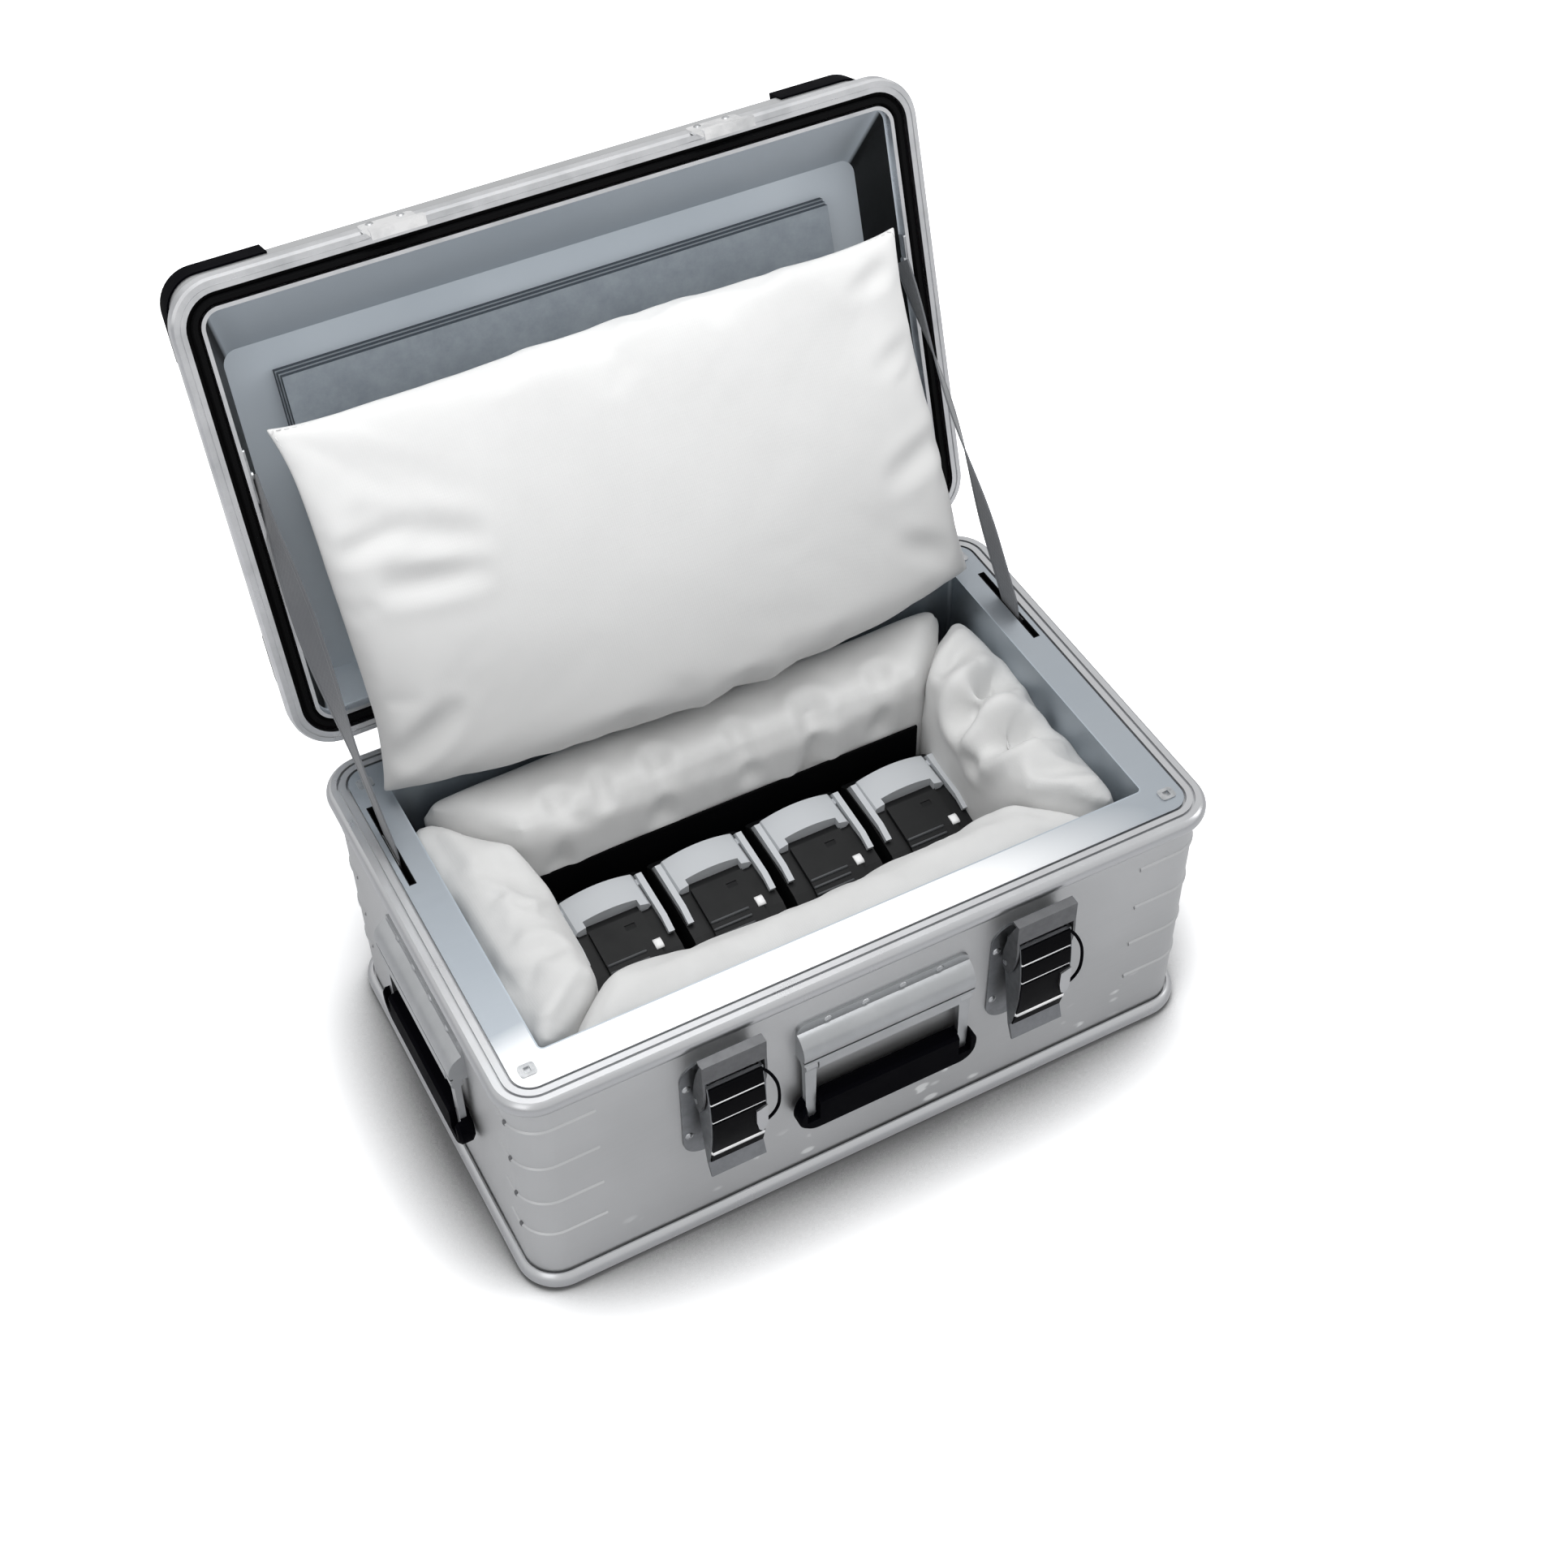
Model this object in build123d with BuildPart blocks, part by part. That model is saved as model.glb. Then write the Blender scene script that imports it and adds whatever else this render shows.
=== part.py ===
from build123d import *
from math import cos, radians, sin
import os

# Battery transport case: an aluminium hinged-lid case lined with granulate cushions.
# Frame: X to the right, Y to the back, Z up, millimetres.
# The origin is the centre of the underside of the skid profile, where the case stands.
# The lid's pieces are drawn on the closed case and then turned open about the hinge.

# Driving dimensions of the case
case_w = 600            # outside of the base rim, left to right
case_d = 375            # outside of the base rim, front to back
base_h = 246            # floor to the top of the base rim
lid_h = 68              # parting plane to the lid's top sheet
rim_r = 34              # corner radius of the rims and the skid profile
wall_inset = 7          # wall sheet behind the outside of the rims
sheet = 1.5             # aluminium sheet of the base and the lid
flange_inset = 45       # inner edge of the liner's flat flange
parting_gap = 1         # between the base rim and the closed lid rim
lid_proud = 3           # lid rim beyond the base rim, so that rain drips off
run_fit = 0.06          # radial clearance of a pin in its bore

# Hinge, opening angle and pillow
hinge_x = 170           # centre of each hinge
hinge_w = 64
knuckle_w = 21          # middle knuckle
lid_angle = 108
pillow_angle = 118
pillow_y = 129          # the pillow turns about the back edge of the well
pillow_z = 256.3

# Lined well
bottom_pad_top = 50
pad_top = 236
well_x = 184            # half width of the well between the side pads
well_front = -86
well_back = 64

# Battery packs
pack_w = 80
pack_l = 132
pack_pitch = 90
pack_row_x = 4          # centre of the row of packs
pack_y = -8
pack_floor = 54
pack_count = 4

# Latches and handles
latch_x = 132
latch_z = 198           # height of the lever's pivot
latch_w = 46
handle_x = 3
handle_y = -8           # centre of the two side handles
handle_z = 158          # height of the bail's pivot
handle_w = 148
handle_drop = 66

half_w = case_w / 2
half_d = case_d / 2
wall_x = half_w - wall_inset
wall_y = half_d - wall_inset
wall_r = rim_r - wall_inset
liner_x = half_w - flange_inset
liner_y = half_d - flange_inset
parting_z = base_h + parting_gap
hinge_y = half_d + 8.5
hinge_z = parting_z
lid_w = case_w + 2 * lid_proud
lid_d = case_d + 2 * lid_proud
lid_r = rim_r + lid_proud
lid_inset = wall_inset + lid_proud
lid_top = parting_z + lid_h
SIDES = (("left", -1), ("right", 1))


def write(part, name):
    part.label = name
    export_step(part, f"parts/{name}.step")


def opened(part):
    """Turns a piece drawn on the closed lid to the open rest position."""
    return part.rotate(Axis((0, hinge_y, hinge_z), (-1, 0, 0)), lid_angle)


def ring_path(width, depth, radius, z):
    """Closed rounded rectangle that starts in the middle of the front side."""
    w, d = width / 2, depth / 2
    with BuildLine(Plane.XY.offset(z)) as path:
        FilletPolyline((0, -d), (w, -d), (w, d), (-w, d), (-w, -d), (-w / 2, -d), radius=radius)
        Line((-w / 2, -d), (0, -d))
    return path.wire()


def ring_plane(depth, z=0):
    """Section plane on the front side: local X goes inwards, local Y goes up."""
    return Plane(origin=(0, -depth / 2, z), x_dir=(0, 1, 0), z_dir=(1, 0, 0))


def wall_plane(x=0, y=0):
    """Section plane square to a front wall: local X goes outwards, local Y goes up."""
    return Plane(origin=(x, y, 0), x_dir=(0, -1, 0), z_dir=(-1, 0, 0))


os.makedirs("parts", exist_ok=True)

# Base shell: a folded tub with rounded upright corners, each stiffened by pressed beads
shell_floor = 8
shell_top = base_h - 8
bead_levels = [70, 112, 158, 204]
bead_reach = 34
bead_h = 1.1

with BuildPart() as base_shell:
    with BuildSketch(Plane.XY.offset(shell_floor)):
        RectangleRounded(2 * wall_x, 2 * wall_y, wall_r)
    extrude(amount=shell_top - shell_floor)
    offset(amount=-sheet, openings=base_shell.faces().sort_by(Axis.Z)[-1])
    for level in bead_levels:
        bead_x = wall_x - wall_r - bead_reach
        bead_y = -wall_y + wall_r + bead_reach / 3
        with BuildLine(Plane.XY.offset(level)) as bead_path:
            FilletPolyline((bead_x, -wall_y), (wall_x, -wall_y), (wall_x, bead_y), radius=wall_r)
        with BuildSketch(Plane(origin=(bead_x, -wall_y, level), x_dir=(0, 1, 0), z_dir=(1, 0, 0))):
            with BuildLine():
                Polyline((0, 2.6), (0.4, 0), (0, -2.6), (-bead_h, -0.9), (-bead_h, 0.9), (0, 2.6))
            make_face()
        sweep(path=bead_path.wire())
    mirror(about=Plane.YZ)
    mirror(about=Plane.XZ)
write(base_shell.part, "base_shell")

# Base rim: one extruded profile bent round the top, with the tongue that the lid's seal meets
with BuildPart() as base_rim:
    with BuildSketch(ring_plane(case_d, base_h)):
        with BuildLine():
            Polyline((4.5, 0), (9, 0), (9, -3), (11, -3), (11, 0), (16, 0), (16, -5), (18, -5))
            Polyline((18, -5), (18, -1.5), (22, -1.5), (22, -8), (7, -8), (7, -17), (4.5, -15.5))
            ThreePointArc((4.5, -15.5), (0, -7.5), (4.5, 0))
        make_face()
    sweep(path=ring_path(case_w, case_d, rim_r, base_h))
write(base_rim.part, "base_rim")

# Skid profile: the rounded frame that the case stands and slides on, with three floor rails
with BuildPart() as skid_profile:
    with BuildSketch(ring_plane(case_d)):
        with BuildLine():
            Polyline((4.5, 17), (5.6, 17), (5.6, 12), (7, 12), (7, shell_floor), (24, shell_floor))
            Polyline((24, shell_floor), (24, 0), (4.5, 0))
            ThreePointArc((4.5, 0), (0, 8.5), (4.5, 17))
        make_face()
    sweep(path=ring_path(case_w, case_d, rim_r, 0))
    with BuildSketch():
        with GridLocations(190, 0, 3, 1):
            Rectangle(26, case_d - 44)
    extrude(amount=shell_floor)
write(skid_profile.part, "skid_profile")

# Inner liner: a sheet tray, and the flat flange round it that is slotted for the two lid stays
liner_sheet = 1.2
slot_x = half_w - 25
slot_y = 85
slot_l = 88
slot_w = 6
plug_x = half_w - 31
plug_y = half_d - 34

with BuildPart() as inner_liner:
    with BuildSketch(Plane.XY.offset(shell_floor + sheet)):
        RectangleRounded(2 * liner_x, 2 * liner_y, 5)
    extrude(amount=base_h - shell_floor - sheet)
    offset(amount=-liner_sheet, openings=inner_liner.faces().sort_by(Axis.Z)[-1])
write(inner_liner.part, "inner_liner")

with BuildPart() as liner_flange:
    with BuildSketch(Plane.XY.offset(base_h - 1.5)):
        RectangleRounded(case_w - 36, case_d - 36, rim_r - 18)
        RectangleRounded(2 * liner_x, 2 * liner_y, 5, mode=Mode.SUBTRACT)
        with Locations((-slot_x, slot_y), (slot_x, slot_y)):
            Rectangle(slot_w, slot_l, mode=Mode.SUBTRACT)
        with GridLocations(2 * plug_x, 2 * plug_y, 2, 2):
            Circle(3, mode=Mode.SUBTRACT)
    extrude(amount=1.5)
write(liner_flange.part, "liner_flange")

# Flange plugs: drive rivets with a square recess that pin the liner at its four corners
with BuildPart() as flange_plugs:
    with BuildSketch(Plane.XY.offset(base_h)):
        with GridLocations(2 * plug_x, 2 * plug_y, 2, 2):
            RectangleRounded(13, 11, 3)
    extrude(amount=0.9)
    with BuildSketch(Plane.XY.offset(base_h - 9)):
        with GridLocations(2 * plug_x, 2 * plug_y, 2, 2):
            Circle(3)
    extrude(amount=9)
    with BuildSketch(Plane.XY.offset(base_h + 0.9)):
        with GridLocations(2 * plug_x, 2 * plug_y, 2, 2):
            Rectangle(5, 5)
    extrude(amount=-2, mode=Mode.SUBTRACT)
write(flange_plugs.part, "flange_plugs")


def cushion(width, depth, levels, centre, pull):
    """Granulate cushion: outlines with drawn-in sides, lofted into a crowned form."""
    with BuildPart() as cushion_part:
        for level, inset in levels:
            w, d = width / 2 - inset, depth / 2 - inset
            with BuildSketch(Plane(origin=(centre[0], centre[1], level))) as outline:
                with BuildLine():
                    ThreePointArc((-w, -d), (0, -d + pull), (w, -d))
                    ThreePointArc((w, -d), (w - pull, 0), (w, d))
                    ThreePointArc((w, d), (0, d - pull), (-w, d))
                    ThreePointArc((-w, d), (-w + pull, 0), (-w, -d))
                make_face()
                fillet(outline.vertices(), min(12, 0.7 * d))
        loft(ruled=True)
    return cushion_part.part


def wall_pad(corners):
    """Upright cushion on four corners, with mitred ends, drawn in at its foot and its top."""
    foot = bottom_pad_top + 1
    levels = [(foot, 8), (foot + 22, 0), (pad_top - 26, 0), (pad_top - 8, 4), (pad_top, 13)]
    with BuildPart() as pad:
        for level, inset in levels:
            with BuildSketch(Plane.XY.offset(level)) as outline:
                Polygon(*corners, align=None)
                offset(amount=-0.8 - inset, kind=Kind.INTERSECTION)
                fillet(outline.vertices(), 8)
        loft(ruled=True)
    return pad.part


# Pads round the well: a thick one under it and one against each liner wall
pad_x = liner_x - liner_sheet
pad_y = liner_y - liner_sheet

write(wall_pad([(-pad_x, pad_y), (-well_x, well_back), (well_x, well_back), (pad_x, pad_y)]), "back_pad")
write(wall_pad([(-pad_x, -pad_y), (pad_x, -pad_y), (well_x, well_front), (-well_x, well_front)]), "front_pad")
for side, sign in SIDES:
    outer, inner = sign * pad_x, sign * well_x
    write(wall_pad([(outer, -pad_y), (outer, pad_y), (inner, well_back), (inner, well_front)]), f"{side}_pad")

floor_levels = [(11, 12), (20, 1), (40, 1), (bottom_pad_top, 14)]
bottom_pad = cushion(2 * pad_x - 1, 2 * pad_y - 1, floor_levels, (0, 0), 3)
write(bottom_pad, "bottom_pad")

# Top pillow: lies over the packs when the lid is shut, leans on the lid when it is open
pillow_w = 532
pillow_l = 303
pillow_back = 10        # its near edge, behind the line it turns about
pillow_mid = base_h + 11
pillow_levels = [(-19, 80), (-13, 36), (-10, 20), (-3, 1), (1, 0), (8, 12), (15, 34), (21, 80)]

top_pillow = cushion(
    pillow_w,
    pillow_l,
    [(pillow_mid + level, inset) for level, inset in pillow_levels],
    (0, pillow_y + pillow_back - pillow_l / 2),
    7,
)
write(top_pillow.rotate(Axis((0, pillow_y, pillow_z), (-1, 0, 0)), pillow_angle), "top_pillow")

# Pack tray: black moulded tray that spaces the packs, with a high back wall
tray_x = well_x - 1
tray_front = well_front + 2.5
tray_back = well_back - 2.5
tray_wall = 2
tray_h = 66

with BuildPart() as pack_tray:
    tray_mid = (tray_front + tray_back) / 2
    tray_l = tray_back - tray_front
    with BuildSketch(Plane.XY.offset(bottom_pad_top + 1)):
        with Locations((0, tray_mid)):
            RectangleRounded(2 * tray_x, tray_l, 7)
    extrude(amount=tray_h)
    offset(amount=-tray_wall, openings=pack_tray.faces().sort_by(Axis.Z)[-1])
    with BuildSketch(Plane.XY.offset(bottom_pad_top + 1)):
        with Locations((pack_row_x, tray_mid)):
            with GridLocations(pack_pitch, 0, pack_count - 1, 1):
                Rectangle(3, tray_l - 2)
    extrude(amount=tray_h - 14)
    with BuildSketch(Plane.XY.offset(bottom_pad_top + 1)):
        with Locations((0, tray_back - tray_wall / 2)):
            Rectangle(2 * tray_x - 16, tray_wall)
    extrude(amount=122)
write(pack_tray.part, "pack_tray")


def pack_case(x):
    """Dark pack housing whose top slopes down to the front, with a raised display panel."""
    back, front = pack_y + pack_l / 2, pack_y - pack_l / 2
    with BuildPart() as case:
        with BuildSketch(wall_plane(x)):
            Polygon(
                (-back, pack_floor), (-back, 139), (-back + 12, 148), (-8, 148), (30, 142),
                (58, 128), (-front, 116), (-front, pack_floor), align=None,
            )
        extrude(amount=pack_w / 2, both=True)
        fillet(case.edges().filter_by(Axis.Z), 6)
        with BuildSketch(wall_plane(x)):
            Polygon((-8, 147), (-8, 152.5), (28, 147), (46, 138), (45, 133), align=None)
        extrude(amount=23, both=True)
        with BuildSketch(Plane.XY.offset(162)):
            with Locations((x + 9, -4)):
                Rectangle(9, 9)
        extrude(amount=-11.4, mode=Mode.SUBTRACT)
        with BuildSketch(Plane.XY.offset(pack_floor + 40)):
            with Locations((x, back), (x, front)):
                with GridLocations(13, 0, 5, 1):
                    Rectangle(5, 2.4)
        extrude(amount=20, mode=Mode.SUBTRACT)
    return case.part


def pack_cap(x):
    """Light curved top cover that arches from side to side, with two proud side rails."""
    arch_top = 159
    with BuildPart() as cap:
        with BuildSketch(Plane(origin=(x, 10, 0), x_dir=(1, 0, 0), z_dir=(0, -1, 0))):
            with BuildLine():
                Line((-30, 148), (30, 148))
                Polyline((30, 148), (33, 151), (31, 154))
                ThreePointArc((31, 154), (0, arch_top), (-31, 154))
                Polyline((-31, 154), (-33, 151), (-30, 148))
            make_face()
        extrude(amount=-34)
        with BuildSketch(Plane.XY.offset(148)):
            with Locations((x, 10)):
                Rectangle(47, 13)
        extrude(amount=20, mode=Mode.SUBTRACT)
        for sign in (-1, 1):
            with BuildSketch(wall_plane(x + sign * 36.5)):
                Polygon((-46, 148), (-40, 157), (6, 154), (20, 149), (18, 144.4), (8, 148), align=None)
            extrude(amount=2.5, both=True)
        with BuildSketch(Plane.XY.offset(148)):
            with Locations((x, 36)):
                Rectangle(72, 6)
        extrude(amount=4)
    return cap.part


pack_first = pack_row_x - pack_pitch * (pack_count - 1) / 2
for number in range(pack_count):
    pack_x = pack_first + pack_pitch * number
    write(pack_case(pack_x), f"pack_{number + 1}_case")
    write(pack_cap(pack_x), f"pack_{number + 1}_cap")

# Lid shell: a drawn cover with a shallow raised field on top
lid_wall_x = lid_w / 2 - lid_inset
lid_wall_y = lid_d / 2 - lid_inset
lid_seat = 10.5         # height in the lid rim where the sheet sits
field_h = 2.5

with BuildPart() as lid_block:
    with BuildSketch(Plane.XY.offset(parting_z + lid_seat)):
        RectangleRounded(2 * lid_wall_x, 2 * lid_wall_y, wall_r)
    extrude(amount=lid_h - lid_seat)
    fillet(lid_block.faces().sort_by(Axis.Z)[-1].edges(), 9)

with BuildPart() as lid_shell:
    add(lid_block.part)
    offset(amount=-sheet, openings=lid_shell.faces().sort_by(Axis.Z)[0])
    with BuildSketch(Plane.XY.offset(lid_top)):
        RectangleRounded(430, 210, 20)
    extrude(amount=field_h, taper=40)
    with BuildSketch(Plane.XY.offset(lid_top - sheet)):
        RectangleRounded(427, 207, 18.5)
    extrude(amount=field_h, taper=40, mode=Mode.SUBTRACT)
write(opened(lid_shell.part), "lid_shell")

# Lid rim: extruded profile with the seal channel and an inner lip
with BuildPart() as lid_rim:
    with BuildSketch(ring_plane(lid_d, parting_z)):
        with BuildLine():
            Polyline((1.5, 0), (5, 0), (5, 1.2), (6.2, 1.2), (6.2, 0), (10, 0), (10, 8), (21, 8))
            Polyline((21, 8), (21, 1), (24, 1), (24, lid_seat), (10, lid_seat), (10, 17), (5, 17))
            ThreePointArc((5, 17), (1.2, 15.5), (0, 12))
            Polyline((0, 12), (0, 3), (1.5, 0))
        make_face()
    sweep(path=ring_path(lid_w, lid_d, lid_r, parting_z))
write(opened(lid_rim.part), "lid_rim")

# Lid seal: black rubber profile in the channel, with a bulb over the base rim's tongue
with BuildPart() as lid_seal:
    with BuildSketch(ring_plane(lid_d, parting_z)):
        with BuildLine():
            Polyline((19.2, 2.2), (19.2, 5.6), (20.8, 5.6), (20.8, 8), (10.2, 8), (10.2, 5.6))
            Polyline((10.2, 5.6), (13.8, 5.6), (13.8, 2.2), (15, 0), (18, 0), (19.2, 2.2))
        make_face()
    sweep(path=ring_path(lid_w, lid_d, lid_r, parting_z))
write(opened(lid_seal.part), "lid_seal")

# Lid liner: inner tray with a long slope at the front, up to the lid's inner panel
lip_x = lid_w / 2 - 24
lip_y = lid_d / 2 - 24
panel_z = parting_z + 52
panel_x = lip_x - 12
panel_front = -lip_y + 46
panel_back = lip_y - 12


def liner_block(skin):
    """Solid tray form; skin is how far it stands inside the outer face."""
    with BuildPart() as block:
        with BuildSketch(Plane.XY.offset(parting_z + lid_seat)):
            RectangleRounded(2 * (lip_x - skin), 2 * (lip_y - skin), 13 - skin)
        with BuildSketch(Plane.XY.offset(panel_z - skin)):
            with Locations((0, (panel_front + panel_back) / 2)):
                panel_l = panel_back - panel_front
                RectangleRounded(2 * (panel_x - skin), panel_l - 2 * skin, 13 - skin)
        loft(ruled=True)
    return block.part


with BuildPart() as lid_liner:
    add(liner_block(0))
    with BuildSketch(Plane.XY.offset(parting_z + lid_seat)):
        RectangleRounded(2 * (lid_wall_x - 2), 2 * (lid_wall_y - 2), wall_r - 2)
    extrude(amount=liner_sheet)
    add(liner_block(liner_sheet), mode=Mode.SUBTRACT)
write(opened(lid_liner.part), "lid_liner")

# Lid board: three stacked sheets of fire protection board fixed to the lid's panel
board_x = 232
board_front = -96
board_back = 128
board_sheet = 5.2

with BuildPart() as lid_board:
    for layer in range(3):
        board_top = panel_z - liner_sheet - layer * (board_sheet + 0.6)
        with BuildSketch(Plane.XY.offset(board_top - board_sheet)):
            with Locations((0, (board_front + board_back) / 2)):
                Rectangle(2 * board_x - 2 * layer, board_back - board_front - 2 * layer)
        extrude(amount=board_sheet)
        if layer < 2:
            with BuildSketch(Plane.XY.offset(board_top - board_sheet - 0.6)):
                with Locations((0, (board_front + board_back) / 2)):
                    Rectangle(2 * board_x - 10, board_back - board_front - 10)
            extrude(amount=0.6)
write(opened(lid_board.part), "lid_board")

# Stacking corners: black mouldings that grip the lid's top corners
corner_leg = 84
corner_rise = 6

with BuildPart() as stacking_corners:
    with BuildSketch(Plane.XY.offset(lid_top - 17)):
        RectangleRounded(2 * lid_wall_x + 3, 2 * lid_wall_y + 3, wall_r + 1.5)
        RectangleRounded(2 * lid_wall_x - 34, 2 * lid_wall_y - 34, 14, mode=Mode.SUBTRACT)
        with GridLocations(2 * lid_wall_x - corner_leg + 6, 2 * lid_wall_y - 62, 2, 2):
            Rectangle(corner_leg, 68, mode=Mode.INTERSECT)
    extrude(amount=17 + corner_rise)
    chamfer(stacking_corners.faces().group_by(Axis.Z)[-1].edges(), 1.6)
    add(lid_block.part, mode=Mode.SUBTRACT)
write(opened(stacking_corners.part), "stacking_corners")


def hinge_leaf(x, knuckle_ranges, upwards):
    """Joggled leaf from the back wall round the rim to its knuckles; upwards for the lid."""
    flip = 1 if upwards else -1
    wall = -wall_y
    riser = -(hinge_y - 4.4)
    points = [(wall, 59), (wall - 2, 59), (wall - 2, 27), (riser - 2, 16), (riser - 2, 1)]
    points += [(riser, 1), (riser, 15), (wall, 24.5)]
    leaf_plane = Plane(origin=(x, 0, hinge_z), x_dir=(0, -1, 0), z_dir=(-1, 0, 0))
    with BuildPart() as leaf:
        with BuildSketch(leaf_plane):
            Polygon(*[(out, flip * up) for out, up in points], align=None)
            with Locations((-hinge_y, 0)):
                Circle(4.4)
        extrude(amount=hinge_w / 2, both=True)
        with BuildSketch(leaf_plane):
            with Locations((-hinge_y, 0)):
                Circle(1.75 + run_fit)
        extrude(amount=hinge_w, both=True, mode=Mode.SUBTRACT)
        for low, high in knuckle_ranges:
            with BuildSketch(Plane(origin=(x + low, 0, hinge_z), x_dir=(0, -1, 0), z_dir=(-1, 0, 0))):
                with Locations((-hinge_y + 1, 0)):
                    Rectangle(13, 12.4)
            extrude(amount=low - high, mode=Mode.SUBTRACT)
        with BuildSketch(Plane(origin=(x, wall_y + 5, hinge_z + flip * 44), z_dir=(0, 1, 0))):
            with GridLocations(44, 18, 2, 2):
                Circle(2)
        extrude(amount=-8, mode=Mode.SUBTRACT)
    return leaf.part


# Hinges: two riveted butt hinges on the back, three knuckles each
for side, sign in SIDES:
    gap = knuckle_w / 2
    base_cut = [(-gap, gap)]
    lid_cut = [(-hinge_w / 2 - 1, 0.3 - gap), (gap - 0.3, hinge_w / 2 + 1)]
    write(hinge_leaf(sign * hinge_x, base_cut, False), f"hinge_{side}_base_leaf")
    write(opened(hinge_leaf(sign * hinge_x, lid_cut, True)), f"hinge_{side}_lid_leaf")

with BuildPart() as hinge_pins:
    for side, sign in SIDES:
        pin_start = sign * hinge_x - hinge_w / 2 - 1.5
        with BuildSketch(Plane(origin=(pin_start, hinge_y, hinge_z), z_dir=(1, 0, 0))):
            Circle(1.75)
        extrude(amount=hinge_w + 3)
        for head_start, head_l in ((pin_start, 1.4), (pin_start + hinge_w + 1.6, 1.4)):
            with BuildSketch(Plane(origin=(head_start, hinge_y, hinge_z), z_dir=(1, 0, 0))):
                Circle(2.8)
            extrude(amount=head_l)
write(hinge_pins.part, "hinge_pins")

# Keepers: J-shaped catch plates on the lid rim that the latch claws pull down
keeper_drop = 26
keeper_w = 42

for side, sign in SIDES:
    with BuildPart() as keeper:
        with BuildSketch(wall_plane(sign * latch_x, -half_d - lid_proud)):
            low = parting_z - keeper_drop
            Polygon(
                (0, parting_z + 11.8), (2, parting_z + 11.8), (2, low + 2.2), (5.4, low + 2.2),
                (5.4, low + 6.6), (7.4, low + 6.6), (7.4, low), (0, low), align=None,
            )
        extrude(amount=keeper_w / 2, both=True)
        fillet(keeper.faces().sort_by(Axis.Z)[-1].edges().filter_by(Axis.Y), 4)
    write(opened(keeper.part), f"keeper_{side}")

# Latch geometry, measured outwards from the front wall and up from the floor
pivot_out = 12
claw_out = 8.5
claw_z = latch_z - 22
cover_top = 204
cover_low = 106
lip_low = 92
front_skin = 2.4


def cover_outline(grow):
    """Curved front of the lever cover, pushed outwards by grow."""
    return ThreePointArc((21 + grow, cover_top), (26 + grow, 158), (18.6 + grow, cover_low))


def latch_plate(x):
    """Riveted base plate with two ears that carry the lever's pivot."""
    with BuildPart() as plate:
        with BuildSketch(Plane(origin=(x, -wall_y, 154), x_dir=(1, 0, 0), z_dir=(0, -1, 0))) as plan:
            Rectangle(70, 112)
            fillet(plan.vertices().group_by(Axis.Z)[-1], 18)
            fillet(plan.vertices().group_by(Axis.Z)[0], 9)
            with GridLocations(60, 60, 2, 2):
                Circle(2, mode=Mode.SUBTRACT)
        extrude(amount=1.6)
        for sign in (-1, 1):
            with BuildSketch(wall_plane(x + sign * 18.5, -wall_y)):
                Polygon((1, latch_z - 18), (1, latch_z - 1), (pivot_out, latch_z + 5),
                        (pivot_out, latch_z - 5), align=None)
                with Locations((pivot_out, latch_z)):
                    Circle(5)
                    Circle(2.5, mode=Mode.SUBTRACT)
            extrude(amount=1, both=True)
    return plate.part


def latch_lever(x):
    """Channel-shaped cover: curved face, two webs with the pivot bores, a pull lip below."""
    with BuildPart() as lever:
        with BuildSketch(wall_plane(x, -wall_y)):
            with BuildLine():
                cover_outline(0)
                Polyline((18.6, cover_low), (23.5, lip_low + 1), (21.6, lip_low), (15.4, cover_low - 1),
                         (4, latch_z - 32), (4, latch_z + 4), (12, latch_z + 5), (21, cover_top))
            make_face()
        extrude(amount=latch_w / 2, both=True)
        with BuildSketch(wall_plane(x, -wall_y)):
            with BuildLine():
                cover_outline(-front_skin)
                Polyline((16.2, cover_low), (0, cover_low), (0, cover_top), (21 - front_skin, cover_top))
            make_face()
        extrude(amount=latch_w / 2 - 2, both=True, mode=Mode.SUBTRACT)
        with BuildSketch(wall_plane(x, -wall_y)):
            with Locations((pivot_out, latch_z)):
                Circle(2.5 + run_fit)
            with Locations((claw_out, claw_z)):
                Circle(2.5)
        extrude(amount=latch_w, both=True, mode=Mode.SUBTRACT)
    return lever.part


def latch_bands(x):
    """Black bands and plate let on to the lever's face, with bright ridges left between."""
    with BuildPart() as bands:
        with BuildSketch(wall_plane(x, -wall_y)):
            with BuildLine():
                cover_outline(0)
                Line((18.6, cover_low), (19.8, cover_low))
                cover_outline(1.2)
                Line((22.2, cover_top), (21, cover_top))
            make_face()
        extrude(amount=latch_w / 2 - 1.2, both=True)
        with BuildSketch(wall_plane(x, -wall_y)):
            for low, high in ((188, 203), (168, 184.5), (125, 164.5), (108, 121.5)):
                with Locations((20, (low + high) / 2)):
                    Rectangle(30, high - low)
        extrude(amount=latch_w, both=True, mode=Mode.INTERSECT)
    return bands.part


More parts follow.
